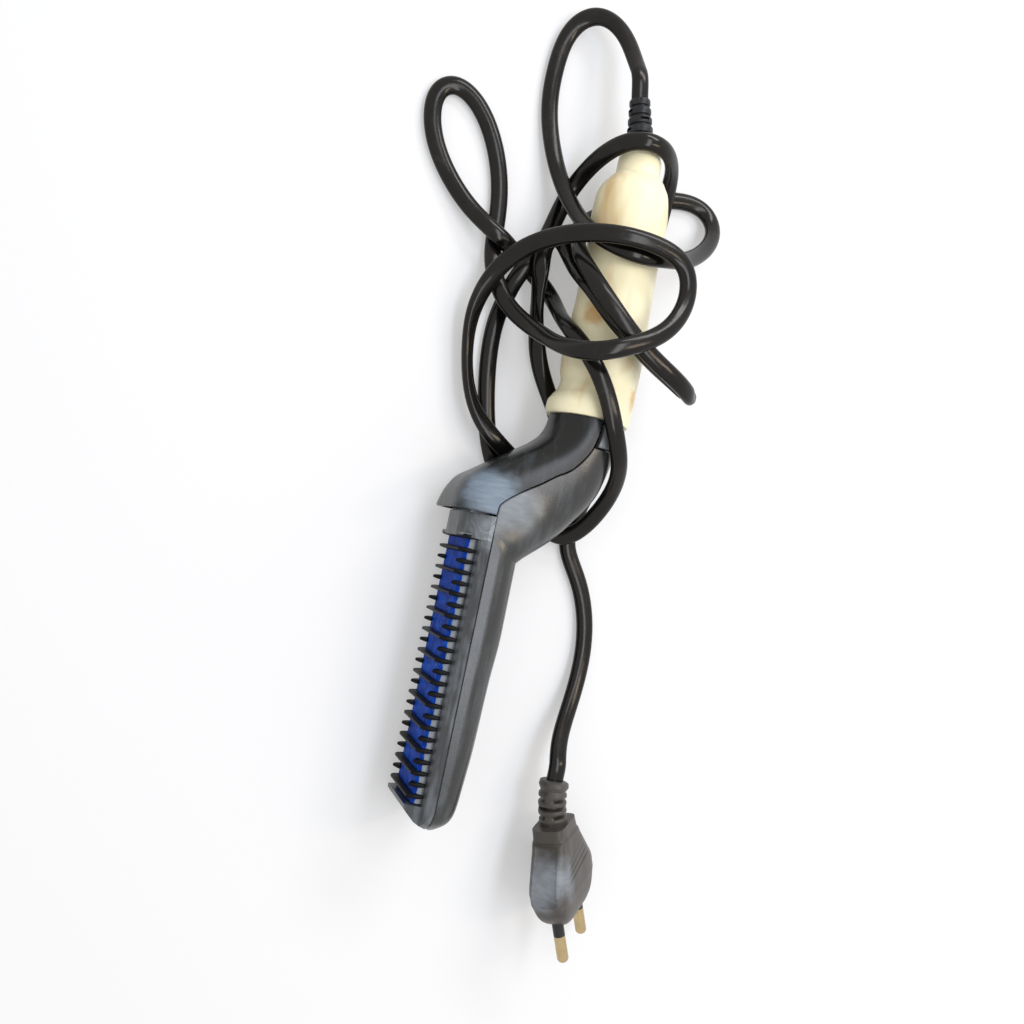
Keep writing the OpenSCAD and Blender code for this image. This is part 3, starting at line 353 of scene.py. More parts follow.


# the places with a painted reflection are the comb's top block, both sides of the parting line above it, and a
# side of the plug
FINISH = {
    "comb": moulded_plastic("satin_black_nylon", "#34373a", "#90969c", 0.28, scuffs=0.4, grain_mm=0.5,
                            painted_reflection=(at(1.5, 3.5, 17), 9), swirls=True, shine=0.6),
    "teeth": moulded_plastic("polished_black_nylon", "#08080a", "#232427", 0.42, scuffs=0.06, grain_mm=0.5,
                             shine=0.12),
    "back": moulded_plastic("satin_black_abs", "#222322", "#757c82", 0.26, scuffs=0.15, grain_mm=0.45,
                            grain=0.02, painted_reflection=(at(10, 12, 15), 12), shine=0.6),
    "front": moulded_plastic("polished_black_abs", "#131311", "#74828f", 0.26, scuffs=0.1, grain_mm=0.8,
                             grain=0.006, painted_reflection=(at(0.5, 13, 14.5), 13)),
    "button": moulded_plastic("grey_button_abs", "#85878a", "#a2a4a7", 0.3, scuffs=0.3),
    "guard": moulded_plastic("matt_black_tpe", "#17181a", "#55575a", 0.4, scuffs=0.3, grain_mm=0.3),
    "plug": moulded_plastic("satin_grey_pvc", "#433e39", "#84898f", 0.38, scuffs=0.12, grain_mm=0.3,
                            grain=0.03, painted_reflection=(on_plug(11, 12.5, 0), 11)),
    "sleeve_black": moulded_plastic("black_pin_sleeve_nylon", "#1f1f21", "#55575a", 0.35, scuffs=0.2),
    "handle": cream_handle_plastic(),
    "plate": coated_aluminium(),
    "lead": lead_vinyl(),
    "brass": metal("drawn_brass", "#cdb78a", 0.24),
    "steel": metal("rolled_steel", "#b4b6b8", 0.35),
    "ceramic": sintered_ceramic(),
    "film": moulded_plastic("polyimide_film", "#b5762f", "#c9924d", 0.3, scuffs=0.1),
    "board": moulded_plastic("glass_fibre_laminate", "#2f6b3c", "#4c8a58", 0.35, scuffs=0.1, grain_mm=0.6,
                             grain=0.03),
    "case": moulded_plastic("moulded_epoxy", "#33353b", "#5a5d64", 0.4, scuffs=0.1),
    "carrier": moulded_plastic("grey_abs", "#3a3d42", "#6a6d72", 0.45, scuffs=0.2),
    "red_wire": moulded_plastic("silicone_wire", "#a8382c", "#c45a4e", 0.5, scuffs=0.1),
    "core": moulded_plastic("pvc_core", "#6a4a2c", "#8a6a4c", 0.4, scuffs=0.1),
}

DRESSED = {
    "comb_frame": "comb", "comb_fins": "teeth", "short_teeth_upper": "teeth", "short_teeth_lower": "teeth",
    "heater_plate": "plate", "insulating_films": "film", "contact_strips": "steel",
    "ptc_heaters": "ceramic", "heater_spring": "steel", "thermal_fuse": "steel", "heater_wires": "red_wire",
    "board_carrier": "carrier", "circuit_board": "board", "board_parts": "case", "switch_body": "case",
    "power_button": "button", "mains_wires": "core", "swivel_socket": "guard", "swivel_ball": "guard",
    "cord_guard": "guard", "plug_guard": "plug", "pin_sleeves": "sleeve_black", "plug_pins": "brass",
    "back_shell": "back", "front_shell": "front", "handle_sleeve": "handle", "plug_body": "plug",
    "power_cord": "lead",
}
# these are too thin for the bevel of the rest; points closer than the weld are one
THIN = ("insulating_films", "contact_strips", "heater_spring", "pin_sleeves")
THIN_BEVEL, BEVEL, WELD = 0.08, 0.15, 0.001


def dress(name, finish):
    """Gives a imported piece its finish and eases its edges."""
    piece = nodes[name]
    piece.data.materials.clear()
    piece.data.materials.append(FINISH[finish])
    for polygon in piece.data.polygons:
        polygon.material_index = 0
        polygon.use_smooth = True
    if piece.data.has_custom_normals:
        piece.data.attributes.remove(piece.data.attributes["custom_normal"])
    weld = piece.modifiers.new("weld", "WELD")
    weld.merge_threshold = WELD * MM
    edge = piece.modifiers.new("eased_edges", "BEVEL")
    edge.width = (THIN_BEVEL if name in THIN else BEVEL) * MM
    edge.segments = 2
    edge.limit_method = "ANGLE"
    edge.angle_limit = radians(32)
    edge.use_clamp_overlap = True
    edge.harden_normals = True
    even = piece.modifiers.new("flat_faces", "WEIGHTED_NORMAL")
    even.keep_sharp = True


for part, finish in DRESSED.items():
    dress(part, finish)


# Ways to build a shape

def curve_through(rows, places, steps, even=False):
    """Rows of numbers along a smooth curve through given rows; even keeps it from overshooting."""
    count, width = len(rows), len(rows[0])
    slopes = [[(rows[i + 1][d] - rows[i][d]) / (places[i + 1] - places[i]) for d in range(width)]
              for i in range(count - 1)]
    tangents = [slopes[0]]
    for i in range(1, count - 1):
        before, after = places[i] - places[i - 1], places[i + 1] - places[i]
        row = []
        for a, b in zip(slopes[i - 1], slopes[i]):
            if even and a * b <= 0:
                row.append(0.0)
            elif even:
                row.append(3 * (before + after) / ((2 * after + before) / a + (after + 2 * before) / b))
            else:
                row.append((a * after + b * before) / (before + after))
        tangents.append(row)
    tangents.append(slopes[-1])
    result = []
    for i in range(count - 1):
        span = places[i + 1] - places[i]
        for k in range(steps):
            t = k / steps
            h = (2 * t ** 3 - 3 * t ** 2 + 1, t ** 3 - 2 * t ** 2 + t,
                 3 * t ** 2 - 2 * t ** 3, t ** 3 - t ** 2)
            result.append([h[0] * rows[i][d] + h[1] * span * tangents[i][d] + h[2] * rows[i + 1][d]
                           + h[3] * span * tangents[i + 1][d] for d in range(width)])
    result.append(list(rows[-1]))
    return result


def skin(name, rings, closed=False):
    """A body through rings of points, capped at both ends or joined into a tube wall."""
    size, count = len(rings[0]), len(rings)
    faces = []
    for k in range(count if closed else count - 1):
        for i in range(size):
            j, m = (i + 1) % size, (k + 1) % count
            faces.append((k * size + i, k * size + j, m * size + j, m * size + i))
    if not closed:
        faces += [tuple(range(size - 1, -1, -1)), tuple(range((count - 1) * size, count * size))]
    mesh = bpy.data.meshes.new(name)
    mesh.from_pydata([tuple(p) for ring in rings for p in ring], [], faces)
    body = bmesh.new()
    body.from_mesh(mesh)
    bmesh.ops.recalc_face_normals(body, faces=body.faces)
    body.to_mesh(mesh)
    body.free()
    piece = bpy.data.objects.new(name, mesh)
    bpy.context.scene.collection.objects.link(piece)
    return piece


def join(piece, tools, operation):
    """Cuts or adds tools, which are then gone."""
    for tool in tools:
        cut = piece.modifiers.new("cut", "BOOLEAN")
        cut.operation = operation
        cut.solver = "MANIFOLD"
        cut.object = tool
    settle(piece)
    for tool in tools:
        bpy.data.objects.remove(tool)


def settle(piece):
    """Makes the shape that the modifiers give the piece's own."""
    shape = bpy.data.meshes.new_from_object(piece.evaluated_get(bpy.context.evaluated_depsgraph_get()))
    piece.modifiers.clear()
    piece.data = shape


def show(piece, finish, body, slot, *replaced):
    """Finishes a piece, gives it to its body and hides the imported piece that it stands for."""
    piece.data.materials.clear()
    piece.data.materials.append(FINISH[finish])
    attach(piece, body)
    if replaced:
        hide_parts(*replaced)


def sq_cos(t, power):
    """Across an oval of a power: 2 is round, and a higher one is squarer."""
    return (1 if cos(t) >= 0 else -1) * abs(cos(t)) ** (2 / power)


def sq_sin(t, power):
    """Up the same oval."""
    return (1 if sin(t) >= 0 else -1) * abs(sin(t)) ** (2 / power)


def turn(count):
    """Angles evenly round a circle."""
    return [2 * pi * k / count for k in range(count)]


def ramp_up(value, start, stop):
    """Zero before start, one past stop, and smooth between them."""
    share = max(0.0, min(1.0, (value - start) / (stop - start)))
    return share * share * (3 - 2 * share)


def smooth_line(rows, steps):
    """The rows along a smooth curve, spaced as the rows themselves are."""
    places = [0.0]
    for a, b in zip(rows, rows[1:]):
        places.append(places[-1] + sqrt(sum((p - q) ** 2 for p, q in zip(a, b))))
    return curve_through(rows, places, steps, even=True)


def prism(name, outline, low=-30.0, high=30.0):
    """A block that stands on an outline of (x, y)."""
    return skin(name, [[at(x, y, z) for x, y in outline] for z in (low, high)])


def tube(name, points, radius, sides=10):
    """A round bar along points."""
    rings, side = [], Vector((0.3, 0.2, 1)).normalized()
    for i, point in enumerate(points):
        along = (points[min(i + 1, len(points) - 1)] - points[max(i - 1, 0)]).normalized()
        side = (side - side.dot(along) * along).normalized()
        other = along.cross(side)
        rings.append([point + radius * MM * (cos(t) * side + sin(t) * other) for t in turn(sides)])
    return skin(name, rings)


def smooth_shade(piece, angle=32):
    for polygon in piece.data.polygons:
        polygon.use_smooth = True
    piece.data.set_sharp_from_angle(angle=radians(angle))


# The shells of the head and neck, and the button

# front point (x, y), back point (x, y), half width, squareness
NECK = [
    (-9.6, 2, 15.4, -6.5, 17.2, 3.6), (-9.9, 7.5, 17.8, -4.3, 17.2, 3.4), (-9.4, 12, 22.2, -0.9, 16.6, 3.1),
    (-6.8, 18.3, 27, 3, 15.2, 2.8), (-1.5, 22.7, 31, 7, 13.8, 2.6), (4.5, 27.2, 34.8, 11.8, 13.4, 2.5),
    (10.5, 31.6, 38.7, 17, 13.4, 2.4), (16, 35.8, 41.5, 22.5, 13.4, 2.3), (19, 39.2, 43.6, 30, 13.3, 2.2),
    (20.3, 42.9, 45.5, 39, 13.2, 2.1), (20.7, 47.5, 47, 47.5, 13.2, 2),
]
# place, straight front side, back depth, half width
HEAD = [
    (9.3, 2.4, 11.4, 16), (3, 2.4, 14.6, 16.9), (-0.5, 2.4, 16, 17.45), (-4.3, 2.4, 16, 17.8),
    (-30, 2.4, 16.2, 17.8), (-45, 2.4, 15.3, 17.8), (-67.4, 2.4, 14.6, 17.8), (-81.4, 2.4, 13.5, 17.8),
    (-86.2, 2.4, 13.1, 17.4), (-88.7, 2.4, 12.7, 16.8), (-90.7, 2.4, 12, 15.8), (-92.2, 2.4, 11, 14.4),
    (-93.5, 2.9, 9.4, 12.6), (-94.4, 4, 7.9, 10.9), (-95, 4.7, 6.8, 9.3), (-95.4, 5.4, 6, 7.9),
]
# the parting line, seen from the side
SEAM = [
    (3.2, 6.5), (3.5, 8.4), (3.9, 10.8), (5.5, 12.7), (8.8, 15.3), (13.1, 18.3), (17.4, 21.2),
    (21.7, 24.5), (26.2, 27.4), (30.2, 32.1), (32.8, 37), (34.1, 44), (34.2, 50),
]


def squareness(power, share):
    """The corners of the neck are 2.4 times as far from round on its front as on its back."""
    return power if share >= 0 else 2 + 2.4 * (power - 2)


def neck_rings(inset):
    """Ovals across the neck, from the front to the back."""
    rings = []
    for front_x, front_y, back_x, back_y, half, power in smooth_line(NECK, 6):
        middle = Vector((front_x + back_x, front_y + back_y, 0)) / 2
        reach = Vector((back_x - front_x, back_y - front_y, 0)) / 2
        reach *= 1 - inset / reach.length
        ring = []
        for t in turn(96):
            square = squareness(power, cos(t))
            across = Vector((0, 0, (half - inset) * sq_sin(t, square)))
            ring.append(at(*(middle + reach * sq_cos(t, square) + across)))
        rings.append(ring)
    return rings


def head_rings(inset, first=0, last=None):
    """Half ovals round the head's back, with flat flanks."""
    flank, rings = HALF_W - inset, []
    for y, front, back, half in smooth_line(HEAD[first:last], 5):
        ring = []
        for t in [pi * k / 60 for k in range(61)]:
            x = front + (back - inset - front) * sq_sin(t, HEAD_POWER)
            ring.append(at(x, y, max(-flank, min(flank, (half - inset) * sq_cos(t, HEAD_POWER)))))
        rings.append(ring)
    return rings


def seam_side(shift, start=BELOW, stop=ABOVE):
    """The parting line between two places, moved towards the back."""
    line = smooth_line(SEAM, 5)
    moved = []
    for i, (x, y) in enumerate(line):
        before, after = line[max(i - 1, 0)], line[min(i + 1, len(line) - 1)]
        along = Vector((after[0] - before[0], after[1] - before[1])).normalized()
        if start <= y <= stop:
            moved.append((x + shift * along.y, y - shift * along.x))
    return moved


def seam_on_flank():
    """Where the parting line runs over the flank of the head and then of the neck."""
    line, points = smooth_line(SEAM, 5), []
    for y, front, back, half in reversed(smooth_line(HEAD[1:12], 4)):
        points.append((SEAM_X, y, min(HALF_W, half)))
    for front_x, front_y, back_x, back_y, half, power in smooth_line(NECK, 6):
        away = (back_x - front_x, back_y - front_y)
        sides = [away[0] * (y - front_y) - away[1] * (x - front_x) for x, y in line]
        for (x, y), (x1, y1), a, b in zip(line, line[1:], sides, sides[1:]):
            # below 7 mm the line still runs on the head
            if a * b <= 0 and a != b and y > 7:
                x, y = x + (x1 - x) * a / (a - b), y + (y1 - y) * a / (a - b)
                forward = (x - front_x) * away[0] + (y - front_y) * away[1]
                share = 2 * forward / (away[0] ** 2 + away[1] ** 2) - 1
                square = squareness(power, share)
                points.append((x, y, half * max(0.0, 1 - abs(share) ** square) ** (1 / square)))
                break
    return points


def seam_grooves():
    """Two rods that ease the edges of the parting line, one on each flank."""
    return [tube("groove", [at(x, y, side * z) for x, y, z in seam_on_flank()], SEAM_ROUND)
            for side in (1, -1)]


def round_the_cut(y, radius):
    """A rod along the edge that a cut across the neck leaves, to ease it."""
    height = at(0, y, 0).y
    points = []
    for column in zip(*neck_rings(0)):
        for a, b in zip(column, column[1:]):
            if (a.y - height) * (b.y - height) <= 0 and a.y != b.y:
                points.append(a.lerp(b, (height - a.y) / (b.y - a.y)))
                break
    return tube("edge", points + points[:1], radius)


def make_back_shell():
    """The head's back and the neck's, one hollow moulding, with two ribs that back the heater's spring."""
    shell = skin("back_shell_smooth", head_rings(0))
    join(shell, [skin("neck", neck_rings(0))], "UNION")
    # the head's hollow sits 0.5 mm nearer to the tip, so that no two faces fall together
    inner_head = [[p - Vector((0, 0.5 * MM, 0)) for p in ring] for ring in head_rings(SHELL_WALL, 2, 10)]
    side = seam_side(SEAM_GAP / 2)
    front = prism("front", [(LEFT, BELOW), (SEAM_X, BELOW)] + side + [(side[-1][0], ABOVE), (LEFT, ABOVE)])
    top = BUTTON_BOTTOM - BUTTON_GAP
    above = prism("above", [(LEFT, top), (RIGHT, top), (RIGHT, ABOVE), (LEFT, ABOVE)])
    join(shell, [skin("hollow", inner_head), skin("neck_hollow", neck_rings(SHELL_WALL)), front, above,
                 round_the_cut(top, EDGE_ROUND)] + seam_grooves(), "DIFFERENCE")
    ribs = []
    for y in RIBS:
        low, high = y - RIB_HALF, y + RIB_HALF
        outline = [(RIB_IN, low), (RIB_OUT, low), (RIB_OUT, high), (RIB_IN, high)]
        ribs.append(prism("rib", outline, -RIB_REACH, RIB_REACH))
    join(shell, ribs, "UNION")
    smooth_shade(shell)
    show(shell, "back", "tool", "back_plastic", "back_shell")


def make_front_shell():
    """The neck's front, with the spigot that the cream sleeve is pushed on."""
    shell = skin("front_shell_smooth", neck_rings(0))
    side = seam_side(-SEAM_GAP / 2, FRONT_START, FRONT_END)
    # past the neck's front
    left = -40
    outline = [(left, FRONT_START), (side[0][0], FRONT_START)] + side
    join(shell, [prism("front", outline + [(side[-1][0], FRONT_END), (left, FRONT_END)])], "INTERSECT")
    join(shell, [skin("neck_hollow", neck_rings(SHELL_WALL)), round_the_cut(FRONT_START, EDGE_ROUND)]
         + seam_grooves(), "DIFFERENCE")
    # radius and place of the spigot's corners
    section = ((9.6, 45.9), (12.9, 45.9), (12.9, 46.6), (11.6, 46.6), (11.6, 54.3), (11.3, 54.6), (9.6, 54.6))
    spigot = [[at(HANDLE_X + r * cos(t), y, r * sin(t)) for t in turn(96)] for r, y in section]
    join(shell, [skin("spigot", spigot, closed=True)], "UNION")
    smooth_shade(shell)
    show(shell, "front", "tool", "front_plastic", "front_shell")


def make_button():
    """The grey key, with a lip that holds it in the shell and the stem that presses the switch."""
    button = skin("power_button_smooth", neck_rings(0))
    side = seam_side(KEY_BEHIND, BUTTON_BOTTOM, BUTTON_TOP)
    outline = [(side[0][0], BUTTON_BOTTOM)] + side
    outline += [(side[-1][0], BUTTON_TOP), (RIGHT, BUTTON_TOP), (RIGHT, BUTTON_BOTTOM)]
    join(button, [prism("key", outline)], "INTERSECT")
    rims = [round_the_cut(y, RIM_ROUND) for y in (BUTTON_BOTTOM, BUTTON_TOP)]
    join(button, [skin("hollow", neck_rings(KEY_DEPTH))] + rims, "DIFFERENCE")
    lip = skin("lip", neck_rings(LIP_DEPTH))
    lower = [(LIP_X, LIP_BOTTOM), (RIGHT, LIP_BOTTOM), (RIGHT, LIP_TOP), (LIP_X, LIP_TOP)]
    join(lip, [prism("lower", lower)], "INTERSECT")
    join(lip, [skin("hollow", neck_rings(KEY_DEPTH))], "DIFFERENCE")
    stem = tube("stem", [at(STEM_IN, STEM_Y, 0), at(STEM_OUT, STEM_Y, 0)], STEM_R, 32)
    join(button, [lip, stem], "UNION")
    smooth_shade(button)
    show(button, "button", "button", "button_plastic", "power_button")


# The comb

def half_thickness(x):
    """A fin is lens-shaped: thickest at half of its height."""
    return FIN_EDGE + FIN_SWELL * (1 - ((x - FIN_MIDDLE) / FIN_REACH) ** 2)


def blade(y, line):
    """One fin or tooth; each row of its line is a place across the comb, tip, root and share of thickness."""
    rings, steps = [], 8
    for z, tip, root, share in line:
        edge = []
        for k in range(steps + 1):
            x = root + (tip - root) * (1 - cos(pi * k / steps)) / 2
            edge.append((x, share * half_thickness(x)))
        rings.append([at(x, y + h, z) for x, h in edge] + [at(x, y - h, z) for x, h in reversed(edge)])
    return rings


def gather(parts, node):
    """Makes one piece of several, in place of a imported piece."""
    whole = bmesh.new()
    for part in parts:
        whole.from_mesh(part.data)
    whole.to_mesh(parts[0].data)
    whole.free()
    for part in parts[1:]:
        bpy.data.objects.remove(part)
    smooth_shade(parts[0], 60)
    show(parts[0], "teeth", "tool", "comb_plastic", node)


def make_fins():
    """The fins bridge the plate from rail to rail; the short teeth only reach in over its edges."""
    end = [(LEG_OUT, -0.6, 0.15, 0.5), (12.3, -2.4, 0.15, 0.75), (12.1, -4, 0.15, 0.9), (11.8, -4.8, 0.15, 1),
           (11.5, -5.3, 0.15, 1), (LEG_IN, -5.4, 0.15, 1), (LEG_IN - 0.02, -5.4, BRIDGE, 1),
           (10.5, -FIN_H, BRIDGE, 1)]
    whole = end + [(-z, tip, root, share) for z, tip, root, share in reversed(end)]
    tooth = end[:-1] + [(10.6, -4.9, BRIDGE, 1), (9.4, -4.1, BRIDGE, 0.95), (8.6, -3.6, BRIDGE, 0.8)]
    fins = [skin("comb_fin", blade(-FIN_LEAD - k * FIN_PITCH, whole)) for k in range(FIN_COUNT)]
    for side, name in ((1, "short_teeth_upper"), (-1, "short_teeth_lower")):
        line = [(side * z, tip, root, share) for z, tip, root, share in tooth]
        places = [-FIN_LEAD - (k + 0.5) * FIN_PITCH for k in range(FIN_COUNT - 1)]
        gather([skin(name + "_smooth", blade(y, line)) for y in places], name)
    gather(fins, "comb_fins")
    closing = skin("closing_fin", blade(-0.55, whole))
    smooth_shade(closing, 60)
    show(closing, "teeth", "tool", "comb_plastic")


# The handle

# distance from the lower end, reach to the front and to the back; the second list is from the upper end
SLEEVE_LOWER = [
    (0, 14.1, 14.1), (0.15, 14.4, 14.35), (1.7, 15.1, 14.9), (4.2, 15, 14.8), (6.7, 13.8, 14.8),
    (9.2, 12.1, 14.8), (12.2, 11.6, 14.8), (16.2, 12.7, 15), (21.2, 13.1, 15.1), (31.2, 12.8, 14.6),
    (41.2, 12.4, 14.1),
]
SLEEVE_UPPER = [
    (-36, 12.2, 13.6), (-23, 13.1, 13.6), (-17, 12.9, 12.8), (-13.4, 11.9, 12), (-11, 10.4, 10.8),
    (-8.8, 8.6, 9.4), (-8, 7.8, 7.6), (-2, 7.7, 7.4), (-0.4, 7.1, 6.8), (-0.02, 6.8, 6.7),
]
# place and radius of the bore's corners, from the upper end down
SLEEVE_BORE = [
    (SLEEVE_END, 6.6), (SLEEVE_END - 14, 6.6), (SLEEVE_END - 20, 10.4), (55, 10.4), (55, 11.7),
    (SLEEVE_START, 11.7), (SLEEVE_START, 13.9),
]


def make_handle():
    """The cream sleeve: a bulb at each end, and a shallow thumb rest pressed into both flanks."""
    rows = [(SLEEVE_START + s, front, back) for s, front, back in SLEEVE_LOWER]
    rows += [(SLEEVE_END + s, front, back) for s, front, back in SLEEVE_UPPER]
    rings = []
    for y, front, back in smooth_line(rows, 7):
        middle, half = HANDLE_X + (back - front) / 2, (front + back) / 2
        ring = []
        for t in turn(120):
            x, z = middle + half * cos(t), min(half, HANDLE_R) * sin(t)
            # the thumb rest runs from 66 to 95.5 mm, on the half of the flank that is nearer to the front
            rest = ramp_up(y, 66, 74) * ramp_up(-y, -95.5, -91) * ramp_up(-x, -37.2, -33)
            ring.append(at(x, y, z * (1 - REST_DEPTH * rest)))
        rings.append(ring)
    for y, r in SLEEVE_BORE:
        rings.append([at(HANDLE_X + r * cos(t), y, r * sin(t)) for t in turn(120)])
    sleeve = skin("handle_sleeve_smooth", rings, closed=True)
    smooth_shade(sleeve, 50)
    show(sleeve, "handle", "tool", "handle_plastic", "handle_sleeve")


# The plug and its guard

# distance behind the face that the pins are measured from, share of the width, share of the thickness
PLUG = [
    (-4.9, 0.6, 0.6), (-4.6, 0.66, 0.71), (3.3, 0.965, 0.985), (4.1, 0.985, 1), (6.2, 0.99, 1), (7.4, 1, 1),
    (9, 0.97, 1), (12, 0.86, 0.99), (16, 0.71, 0.97), (19.8, 0.57, 0.94), (22, 0.5, 0.93),
    (22.4, 0.47, 0.9), (PLUG_LEN, 0.45, 0.87),
]


def plug_scoop(line, side):
    """What hollows a narrow side, from its widest place up to the collar."""
    rings, reach = [], 2.5
    for s, w, h in line:
        if SCOOP_START <= s <= SCOOP_STOP:
            # it runs out towards the nose and narrows towards the collar
            deep = SCOOP_DEPTH * ramp_up(s, 3.8, 5.2)
            wide = SCOOP_HALF - 0.06 * (s - 8)
            middle = side * (w * PLUG_W / 2 + reach - deep)
            rings.append([on_plug(s, middle + reach * sq_cos(t, 5), wide * sq_sin(t, 3)) for t in turn(48)])
    return skin("scoop", rings)


def make_plug():
    """The plug: waisted, with a scooped panel on each narrow side and grip grooves on the broad ones."""
    line = smooth_line(PLUG, 5)
    body = skin("plug_body_smooth", [
        [on_plug(s, w * PLUG_W / 2 * sq_cos(t, PLUG_POWER), h * PLUG_T / 2 * sq_sin(t, PLUG_POWER))
         for t in turn(80)] for s, w, h in line])
    cuts = []
    for side in (1, -1):
        pin, face = side * PIN_SPACING / 2, side * (PLUG_T / 2 + GRIP_OFF)
        cuts.append(tube("pin_hole", [on_plug(-7, pin, 0), on_plug(6, pin, 0)], PIN_R - 0.5, 32))
        cuts.append(plug_scoop(line, side))
        for k in range(GRIPS):
            # they slant, and get shorter as the plug gets narrower
            wide, start, stop = 10.5 - 1.3 * k, 8.6 + GRIP_PITCH * k, 11.4 + GRIP_PITCH * k
            cuts.append(tube("grip", [on_plug(start, wide, face), on_plug(stop, -wide, face)], GRIP_R))
    join(body, cuts, "DIFFERENCE")
    smooth_shade(body, 26)
    show(body, "plug", "tool", "plug_vinyl", "plug_body")


def make_plug_guard():
    """The plug's bent guard: round bands, with slots between them that are bridged on alternate sides."""
    back = on_plug(PLUG_LEN, 0, 0)
    along = (back - on_plug(0, 0, 0)).normalized()
    out = Vector((-along.y, along.x, 0))
    up = Vector((0, 0, 1))
    length = GUARD_BEND * GUARD_SWEEP
    rings = []
    for k in range(121):
        s = -GUARD_SUNK + (length + GUARD_SUNK) * k / 120
        a = s / GUARD_BEND
        middle = back + (along * sin(a) - out * (1 - cos(a))) * GUARD_BEND * MM
        side = out * cos(a) + along * sin(a)
        # the last band stands out by 0.35 mm, and its end is rounded
        rim = 0.35 * ramp_up(s, length - 2.3, length - 1.5) - 0.9 * ramp_up(s, length - 0.5, length) ** 2
        ring = []
        for t in turn(64):
            radius = GUARD_R + rim - 0.3 * ramp_up(-s, 0, GUARD_SUNK)
            for j, place in enumerate(SLOTS):
                near = 1 - ramp_up(abs(s - place), 0.35, 0.75)
                bridge = ramp_up(abs(cos(t - 0.9 - pi / 2 * (j % 2))), 0.88, 0.95)
                radius -= SLOT_DEPTH * near * (1 - bridge)
            groove = 0.3 * (1 - ramp_up(abs(s - GROOVE), 0.2, 0.9))
            radius -= groove + 0.12 * cos(2 * pi * (s - SLOTS[0]) / BAND_PITCH)
            ring.append(middle + radius * MM * (cos(t) * side + sin(t) * up))
        rings.append(ring)
    guard = skin("plug_guard_smooth", rings)
    smooth_shade(guard, 60)
    show(guard, "plug", "tool", "plug_vinyl", "plug_guard")


# The lead

# x, y, height above the table, and where the flat side is turned up, by how many degrees
ROUTE = [
    (25, 176, 14), (21.5, 184, 11), (16, 189, 8.8), (10.5, 190, 6.8), (5.5, 187, 4.8),
    (2, 180.5, 3), (0.7, 169, 2.2), (1.2, 155, 2), (5, 141.5, 3), (10, 128, 6.9),
    (16, 113, 18.5), (21, 105, 30.3), (33, 102, 34.5), (46, 105.5, 31), (54, 109, 23.5),
    (63.5, 115.5, 15.5), (71, 124, 9), (73.5, 132, 4.5), (70, 138, 2.4), (62, 139.5, 2),
    (50, 136, 2), (36, 129, 2), (27, 122, 2),
    (20.5, 116, 6), (17, 107.5, 16.5), (14.6, 99, 27.5), (21.5, 85, 39.3), (40, 70, 39.7),
    (55, 64, 38.5), (64, 61, 32), (62, 65, 27), (47, 70, 30.5), (38, 74, 34),
    (29, 79, 34), (21.8, 88, 29.5), (18, 95, 20), (17, 102, 12), (12, 108, 11.3),
    (8, 105.5, 11.2), (7.7, 98, 11.3), (9.4, 89, 8.6, 90), (15, 69, 3.2, 30), (22, 57, 2),
    (31, 44, 2), (28, 32, 2), (18, 28.5, 2), (12, 31, 5.2), (6, 34, 7.3),
    (-5, 44, 6.5, 45), (-10, 62, 4.5, 60), (-12, 77, 8, 30), (-6, 94, 13), (4, 102, 25),
    (18, 105, 37), (38, 106, 38.8), (49, 103, 38), (52, 92, 38.5), (45, 78, 42.3),
    (33, 70, 45.2), (22, 65, 44), (17, 65, 38.5), (13, 67, 30.2), (10, 71, 20.5),
    (0, 80, 7.8), (-5, 87, 6.6), (-8, 97, 2.3), (-8.5, 114, 2), (-12, 128.5, 2),
    (-18.5, 141, 2), (-26, 148.5, 2), (-33, 150.5, 2), (-38, 147, 2), (-39, 139, 2),
    (-35.5, 128.5, 2), (-28, 118.5, 2.2), (-19, 110, 3.8),
    (-10, 104, 7), (-5, 102, 6.3), (2, 99, 2.6), (15.6, 91, 2), (16.8, 81, 14),
    (17.5, 74, 26), (22, 68, 31.5), (30, 58, 34.5), (39, 41, 33.2), (44.5, 33, 28.5),
    (48, 24, 18), (44, 11, 9.5), (38, 6, 6.9), (32, 8, 4.3), (21, 15, 1.9),
    (9, 24, 1.9), (1, 48, 2), (-2, 73, 2), (0, 83, 2), (2, 93, 6.6),
    (6, 99, 6.5), (10, 108, 4), (14, 124, 2), (17, 132, 3.5), (20, 139, 17),
    (26, 142.5, 27.5), (37, 143.5, 27.5), (46, 142, 18), (50, 136, 9), (52, 118, 2),
    (50, 83, 2), (50, 49, 2), (46, 22, 2), (40, 5, 2), (50, -7, 2),
    (57, -28, 2.5), (55, -49, 5.5), (50, -64, 12),
]
# the first and last stretch are straight; their points are held while the bends are evened out in rounds
STRAIGHT_START, STRAIGHT_END, HELD, ROUNDS = 9, 5, 10, 24


